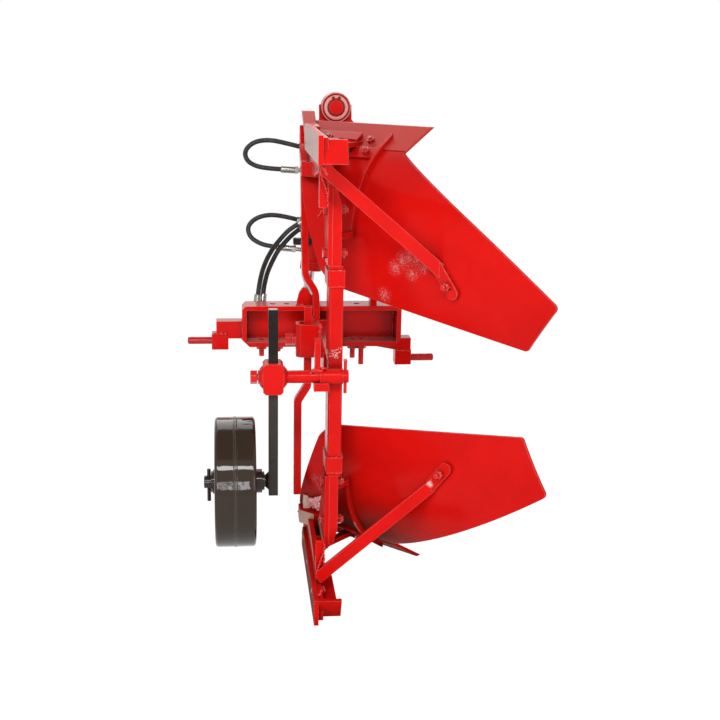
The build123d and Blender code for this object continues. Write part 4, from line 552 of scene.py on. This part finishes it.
# Painted shade and floor reflection: the lower board turns dark brown low down towards its left.
LOW_SHADE = (0.07, 0.010, 0.002)
LOW_SHADE_HEIGHTS = (0.12, 0.27)
LOW_SHADE_SIDE = (0.20, 0.40, 1.0, 0.0)      # from the distance to the right
LOW_DULL = 0.55
BACK_RANGE = (0.0, -0.15, 0.0, 1.0)     # from the way that a face looks along the plough
SPATTER_GRAINS = 330.0
SPATTER_HEIGHT = 20.0                   # in heights of the paint's ripple
BOARD_EDGE = 0.0030
BOARD_MIRROR = 0.075


def spattered(name, places, shade_amount, shine=(0.94, 0.40, 0.38), cover=0.54, solid=0.14):
    """The red gloss with rough patches made bright as a painted highlight, each at a place with a reach in
    millimetres, and painted shade low down.
    """
    material, tree, shader = new_material(name)
    film = placed(tree, paint_film, gloss_low=BODY_GLOSS[0], gloss_high=BODY_GLOSS[1])
    mask = 0.0
    for place, reach in places:
        patch = placed(tree, scuff_patch, place=at(*place), reach=reach / 1000, solid=solid)
        mask = summed(tree, mask, patch.outputs["Mask"], "MAXIMUM")
    surface = coordinates(tree)
    back = ranged(tree, axes_of(tree, surface["Normal"])["Y"], *BACK_RANGE)
    mask = summed(tree, mask, back, "MULTIPLY")
    axes = axes_of(tree, surface["Object"])
    low_down = ranged(tree, axes["Z"], *LOW_SHADE_HEIGHTS, shade_amount, 0.0)
    shaded_low = summed(tree, low_down, ranged(tree, axes["X"], *LOW_SHADE_SIDE), "MULTIPLY")
    edges = rounded_edges(tree, BOARD_EDGE)
    bright = mixed(tree, summed(tree, mask, cover, "MULTIPLY"), film.outputs["Colour"], shine)
    low_shaded = mixed(tree, shaded_low, bright, LOW_SHADE)
    tree.links.new(glint_and_shade(tree, low_shaded, edges), shader.inputs["Base Color"])
    dull = summed(tree, film.outputs["Roughness"], summed(tree, shaded_low, LOW_DULL, "MULTIPLY"))
    tree.links.new(dull, shader.inputs["Roughness"])
    shader.inputs["Specular IOR Level"].default_value = BOARD_MIRROR
    grains = noise_in(tree, surface["Object"], SPATTER_GRAINS, 2.0)
    rough = summed(tree, summed(tree, grains, mask, "MULTIPLY"), SPATTER_HEIGHT, "MULTIPLY")
    bumped(tree, shader, summed(tree, film.outputs["Height"], rough), RIPPLE_DEPTH, edges)
    return material


LAND_FACE = (-0.50, -0.62)      # the X of normals from where the painted reflection starts to where it is full
LAND_EDGE = 0.0018
LAND_MIRROR = 0.03
LAND_RIPPLE = 0.00001


def side_reflection(name, reflected, share, gloss, bottom, top):
    """The red gloss, with a painted reflection in its colour on the faces towards the furrow's wall between two
    heights.
    """
    material, tree, shader = new_material(name)
    film = placed(tree, paint_film, gloss_low=gloss[0], gloss_high=gloss[1])
    surface = coordinates(tree)
    height = axes_of(tree, surface["Object"])["Z"]
    above = summed(tree, height, bottom, "GREATER_THAN")
    between = summed(tree, above, summed(tree, height, top, "LESS_THAN"), "MULTIPLY")
    facing_land = ranged(tree, axes_of(tree, surface["Normal"])["X"], *LAND_FACE, 0.0, share)
    reflecting = summed(tree, facing_land, between, "MULTIPLY")
    edges = rounded_edges(tree, LAND_EDGE)
    reflected_colour = mixed(tree, reflecting, film.outputs["Colour"], reflected)
    tree.links.new(glint_and_shade(tree, reflected_colour, edges), shader.inputs["Base Color"])
    tree.links.new(film.outputs["Roughness"], shader.inputs["Roughness"])
    shader.inputs["Specular IOR Level"].default_value = LAND_MIRROR
    bumped(tree, shader, film.outputs["Height"], LAND_RIPPLE, edges)
    return material


brace_red = painted("brace_red", RED, RED_DEEP, gloss=(0.16, 0.28), edge_radius=0.0040, mirror=0.15)
# The lower brace has a painted glint at its bend.
bent_brace_glint = spattered("bent_brace_glint", (((313, 112, 350), 10), ((318, 112, 345), 9)), shade_amount=0.0,
                           shine=(0.96, 0.74, 0.70), cover=0.9, solid=0.85)
# The upper share and point have a pinkish painted reflection of the room in their colour.
share_top_sheen = painted("share_top_sheen", (0.70, 0.052, 0.040), (0.60, 0.036, 0.028), gloss=(0.28, 0.36),
                        ripple_size=120.0, ripple_depth=0.00001, mirror=0.05)
# The lower share's darker red is painted shade.
share_shade_red = painted("share_shade_red", (0.56, 0.010, 0.006), RED_DEEP, gloss=(0.55, 0.70), mirror=0.02)
# The landsides and the saddle have a painted reflection on their faces towards the furrow's wall: of the floor low
# down, of the room high up.
lower_land_red = side_reflection("lower_land_red", (0.24, 0.09, 0.060), 0.9, (0.65, 0.80), bottom=-0.01, top=0.20)
saddle_red = side_reflection("saddle_red", (0.66, 0.50, 0.39), 0.9, (0.60, 0.75), bottom=0.099, top=0.142)
upper_land_red = side_reflection("upper_land_red", (0.82, 0.62, 0.57), 0.92, (0.36, 0.46), bottom=1.0, top=1.4)
lower_board_red = spattered("lower_board_red", (((34, 428, 248), 26), ((47, 422, 224), 24)), shade_amount=0.9)
upper_board_red = spattered("upper_board_red", (
    ((224, 223, 916), 30), ((239, 208, 937), 32), ((254, 194, 946), 30), ((271, 177, 944), 28),
    ((286, 161, 926), 26), ((262, 185, 904), 26), ((200, 256, 836), 28)), shade_amount=0.0)
finished(["frog_upper", "point_lower"], red_gloss)
finished(["plough_bolts"], bolt_red)
finished(["brace_upper"], brace_red)
finished(["brace_lower"], bent_brace_glint)
finished(["share_upper", "point_upper"], share_top_sheen)
finished(["share_lower"], share_shade_red)
finished(["landside_lower"], lower_land_red)
finished(["frog_lower"], saddle_red)
finished(["landside_upper"], upper_land_red)
finished(["mouldboard_lower"], lower_board_red)
finished(["mouldboard_upper"], upper_board_red)
BODY_RUNS = (
    ((34, 427, 246), (51, 420, 220), 5), ((34, 120, 100), (34, 120, 180), 4),
    ((14, 20, 75), (22, 20, 92), 4), ((14, 116, 94), (33, 118, 157), 4))
UPPER_RUNS = tuple(((x, y, TURN_HEIGHT - z), (x2, y2, TURN_HEIGHT - z2), size)
                   for (x, y, z), (x2, y2, z2), size in BODY_RUNS)
weld_runs("body_welds", "turning_frame", BODY_RUNS + UPPER_RUNS)

# Wedge between the saddle and the mouldboard's back: a cut block of bar with a thick weld heaped against it by
# hand.
# The block's light tan is a painted reflection of the floor, and the heap's bright pink a painted highlight.
BOARD_POINT = (6.8, 499.6, 158.2)
BOARD_BACK = Vector((-0.62, -0.62, -0.47))
BOARD_GAP = 0.001
WEDGE_LOW = (1.0, 478.0, 139.0)
WEDGE_HIGH = (22.0, 516.0, 182.0)
WEDGE_BEVEL = 0.0012
HEAP_RUNS = (
    ((22, 482, 147), (46, 460, 147), 8), ((22, 476, 154), (46, 452, 154), 8),
    ((22, 470, 162), (46, 446, 162), 8), ((23, 464, 170), (44, 443, 170), 8),
    ((24, 458, 177), (42, 440, 177), 7), ((34, 444, 184), (50, 428, 188), 6),
    ((44, 433, 190), (52, 424, 198), 5))
wedge_floor_sheen = painted("wedge_floor_sheen", (0.90, 0.68, 0.60), (0.78, 0.55, 0.47), gloss=(0.40, 0.55), mirror=0.2,
                     glint_colour=(0.92, 0.74, 0.68), shade_colour=(0.46, 0.22, 0.17))
heap_glint = painted("heap_glint", (1.0, 0.56, 0.56), (0.98, 0.36, 0.37), gloss=(0.22, 0.36), ripple_size=420.0,
                    ripple_depth=0.0004, edge_radius=0.0005, mirror=0.5, shade_colour=(0.66, 0.14, 0.13))
wedge_low, wedge_high = at(*WEDGE_LOW), at(*WEDGE_HIGH)
wedge = bmesh.new()
bmesh.ops.create_cube(wedge, size=1.0, matrix=Matrix.Translation((wedge_low + wedge_high) / 2)
                      @ Matrix.Diagonal((*(wedge_high - wedge_low), 1)))
cut = bmesh.ops.bisect_plane(wedge, geom=wedge.verts[:] + wedge.edges[:] + wedge.faces[:], dist=1e-6,
                             plane_co=at(*BOARD_POINT) - BOARD_BACK * BOARD_GAP, plane_no=-BOARD_BACK,
                             clear_outer=True)
bmesh.ops.contextual_create(wedge, geom=[e for e in cut["geom_cut"] if isinstance(e, bmesh.types.BMEdge)])
bmesh.ops.bevel(wedge, geom=wedge.edges[:], offset=WEDGE_BEVEL, offset_type="OFFSET", segments=2, profile=0.5,
                affect="EDGES", material=-1)
bmesh.ops.recalc_face_normals(wedge, faces=wedge.faces)
new_piece("saddle_wedge", wedge, wedge_floor_sheen, "turning_frame", smooth=False)
weld_runs("saddle_weld", "turning_frame", HEAP_RUNS, EVEN_SPREAD, heap_glint)

# Depth wheel: two pressed halves welded at the middle and painted a brown black, on a black square bar that a
# set screw holds in the swinging clamp. The bar's paint is darker above the clamp, and its cut end has a painted
# sheen.
BAR_DARKENING = (0.64, 0.70, 0.0, 0.75)    # heights between which the paint turns from its own colour to the darker black
BAR_END = 0.8165
BAR_BLACK = (0.006, 0.003, 0.003)
wheel_paint = painted("wheel_paint", (0.034, 0.019, 0.010), (0.018, 0.010, 0.006), gloss=(0.03, 0.06),
                      ripple_size=22.0, ripple_depth=0.0006, edge_radius=0.0030, mirror=0.32,
                      glint_colour=(0.16, 0.13, 0.11), shade_colour=DARK_CORNER_SHADE, sheen=0.0)
bar_paint = painted("bar_paint", (0.050, 0.042, 0.036), (0.030, 0.025, 0.020), gloss=(0.26, 0.46),
                    glint_colour=(0.16, 0.15, 0.14), shade_colour=DARK_CORNER_SHADE, sheen=0.9)
bar_tree = bar_paint.node_tree
bar_colour = bar_tree.nodes["Principled BSDF"].inputs["Base Color"]
bar_film = bar_colour.links[0].from_socket
bar_height = axes_of(bar_tree, coordinates(bar_tree)["Object"])["Z"]
darker = summed(bar_tree, ranged(bar_tree, bar_height, *BAR_DARKENING),
                  summed(bar_tree, bar_height, BAR_END, "LESS_THAN"), "MULTIPLY")
bar_tree.links.new(mixed(bar_tree, darker, bar_film, BAR_BLACK), bar_colour)
finished(["wheel_shell_left", "wheel_shell_right", "wheel_hub", "wheel_axle", "axle_retainer"], wheel_paint)
finished(["wheel_bar"], bar_paint)
finished(["cross_shaft", "wheel_clamp"], red_gloss)
finished(["shaft_pin", "clamp_screw"], bolt_red)

# Collars of the clamp: two turned cones of steel welded to its sides, one round the shaft and one round the nut
# of its set screw.
CLAMP_LEFT = (-128.0, 165.0, 635.0)
CLAMP_RIGHT = (-75.0, 165.0, 635.0)
COLLAR_FOOT = 30.0
COLLAR_BAND = (-0.5, 2.5)       # along the collar, from inside the clamp's face to where the cone starts
COLLAR_LIP = (1.0, 0.8)         # what the chamfered lip adds to the tip's radius and to the length
COLLAR_STEPS = 40
for collar_name, place, way, bore, tip, length in (
        ("clamp_collar_left", CLAMP_LEFT, (-1, 0, 0), 19.4, 22.0, 8.0),
        ("clamp_collar_right", CLAMP_RIGHT, (1, 0, 0), 16.8, 19.5, 10.0)):
    lip_radius, lip_end = tip + COLLAR_LIP[0], length + COLLAR_LIP[1]
    collar = turned([(bore, COLLAR_BAND[0]), (COLLAR_FOOT, COLLAR_BAND[0]), (COLLAR_FOOT, COLLAR_BAND[1]),
                     (lip_radius, length), (tip, lip_end), (bore, lip_end)], COLLAR_STEPS)
    collar.transform(facing(at(*place), way))
    new_piece(collar_name, collar, red_gloss, "wheel_arm", smooth=False)

# Stage: a pale floor and a white room with a darker ceiling, which the glossy wheel mirrors. Soft lamps stand
# round the plough, and the camera is the one that was fitted to the photograph.
FLOOR_HALF = 6.0
FLOOR_GREY = (0.62, 0.62, 0.62, 1)
FLOOR_ROUGHNESS = 0.9
FLOOR_MIRROR = 0.1
FLOOR_GLOW = 1.2
FLOOR_GLOW_SHARE = 0.82
WHITE = (1, 1, 1, 1)
floor_mesh = bmesh.new()
bmesh.ops.create_grid(floor_mesh, x_segments=1, y_segments=1, size=FLOOR_HALF)
floor_data = bpy.data.meshes.new("floor")
floor_mesh.to_mesh(floor_data)
floor_mesh.free()
floor = bpy.data.objects.new("floor", floor_data)
bpy.context.scene.collection.objects.link(floor)
floor_white, floor_tree, floor_shader = new_material("floor_white")
floor_shader.inputs["Base Color"].default_value = FLOOR_GREY
floor_shader.inputs["Roughness"].default_value = FLOOR_ROUGHNESS
floor_shader.inputs["Specular IOR Level"].default_value = FLOOR_MIRROR


def seen_directly(tree):
    """One for rays from the camera, from gloss and through glass, and none for the light on the object."""
    path = tree.nodes.new("ShaderNodeLightPath")
    total = summed(tree, path.outputs["Is Camera Ray"], path.outputs["Is Glossy Ray"])
    total = summed(tree, total, path.outputs["Is Transmission Ray"])
    total.node.use_clamp = True
    return total


glow = floor_tree.nodes.new("ShaderNodeEmission")
glow.inputs["Color"].default_value = WHITE
glow.inputs["Strength"].default_value = FLOOR_GLOW
floor_mix = floor_tree.nodes.new("ShaderNodeMixShader")
glow_share = summed(floor_tree, seen_directly(floor_tree), FLOOR_GLOW_SHARE, "MULTIPLY")
floor_tree.links.new(glow_share, floor_mix.inputs["Fac"])
floor_tree.links.new(floor_shader.outputs["BSDF"], floor_mix.inputs[1])
floor_tree.links.new(glow.outputs["Emission"], floor_mix.inputs[2])
floor_tree.links.new(floor_mix.outputs["Shader"], floor_tree.nodes["Material Output"].inputs["Surface"])
floor_data.materials.append(floor_white)

ROOM_LIGHT = 0.22
CEILING_RANGE = (0.83, 0.87, 0.78, 0.10)    # from a ray's rise to what the walls or the ceiling add to its light
world = bpy.data.worlds.new("white_room")
bpy.context.scene.world = world
world.use_nodes = True
sky = world.node_tree
sky_light = sky.nodes["Background"]
sky_light.inputs["Color"].default_value = WHITE
walls = ranged(sky, axes_of(sky, coordinates(sky)["Generated"])["Z"], *CEILING_RANGE)
shown = summed(sky, seen_directly(sky), walls, "MULTIPLY")
sky.links.new(summed(sky, shown, ROOM_LIGHT), sky_light.inputs["Strength"])

MIDDLE = (0.05, 0.1, 0.68)
for lamp_name, place, target, wide, high, power in (
        ("key_lamp", (-0.5, -2.75, 2.8), MIDDLE, 2.2, 0.4, 53),
        ("right_lamp", (2.4, -3.0, 1.2), MIDDLE, 1.6, 1.6, 29),
        ("front_lamp", (-0.95, -3.4, 1.1), (0.1, 0.1, 0.3), 1.25, 0.8, 32),
        ("strip_lamp", (-0.18, -3.4, 1.1), (-0.18, 0.1, 0.3), 0.08, 0.8, 2.2),
        ("thin_strip_lamp", (-0.25, -3.4, 1.1), (-0.25, 0.1, 0.3), 0.035, 0.8, 0.6),
        ("left_lamp", (-2.8, -2.2, 1.4), MIDDLE, 1.8, 1.8, 12),
        ("top_lamp", (0.0, 2.88, 2.71), (-0.1, 0.28, 0.21), 2.2, 2.5, 34)):
    lamp_data = bpy.data.lights.new(lamp_name, "AREA")
    lamp_data.shape = "RECTANGLE"
    lamp_data.size = wide
    lamp_data.size_y = high
    lamp_data.energy = power
    lamp = bpy.data.objects.new(lamp_name, lamp_data)
    bpy.context.scene.collection.objects.link(lamp)
    lamp.matrix_world = facing(place, Vector(place) - Vector(target))

VIEW_PLACE = (-207.9, -2777.9, 1439.4)
VIEW_YAW = math.radians(-6.5)
VIEW_DOWN = math.radians(14.4)
VIEW_ROLL = math.radians(-1.09)
FOCAL_PIXELS = 1160.0
FRAME_PIXELS = 720.0
SENSOR_WIDTH = 36.0
forward = Vector((-math.sin(VIEW_YAW) * math.cos(VIEW_DOWN), math.cos(VIEW_YAW) * math.cos(VIEW_DOWN),
                  -math.sin(VIEW_DOWN)))
level = Vector((math.cos(VIEW_YAW), math.sin(VIEW_YAW), 0))
upright = level.cross(forward)
right = level * math.cos(VIEW_ROLL) - upright * math.sin(VIEW_ROLL)
up = level * math.sin(VIEW_ROLL) + upright * math.cos(VIEW_ROLL)
camera_data = bpy.data.cameras.new("photo_camera")
camera_data.sensor_width = SENSOR_WIDTH
camera_data.lens = SENSOR_WIDTH * FOCAL_PIXELS / FRAME_PIXELS
camera = bpy.data.objects.new("photo_camera", camera_data)
bpy.context.scene.collection.objects.link(camera)
turn = Matrix((right, up, -forward)).transposed().to_4x4()
camera.matrix_world = Matrix.Translation(at(*VIEW_PLACE)) @ turn
bpy.context.scene.camera = camera
bpy.context.scene.view_settings.view_transform = "Standard"
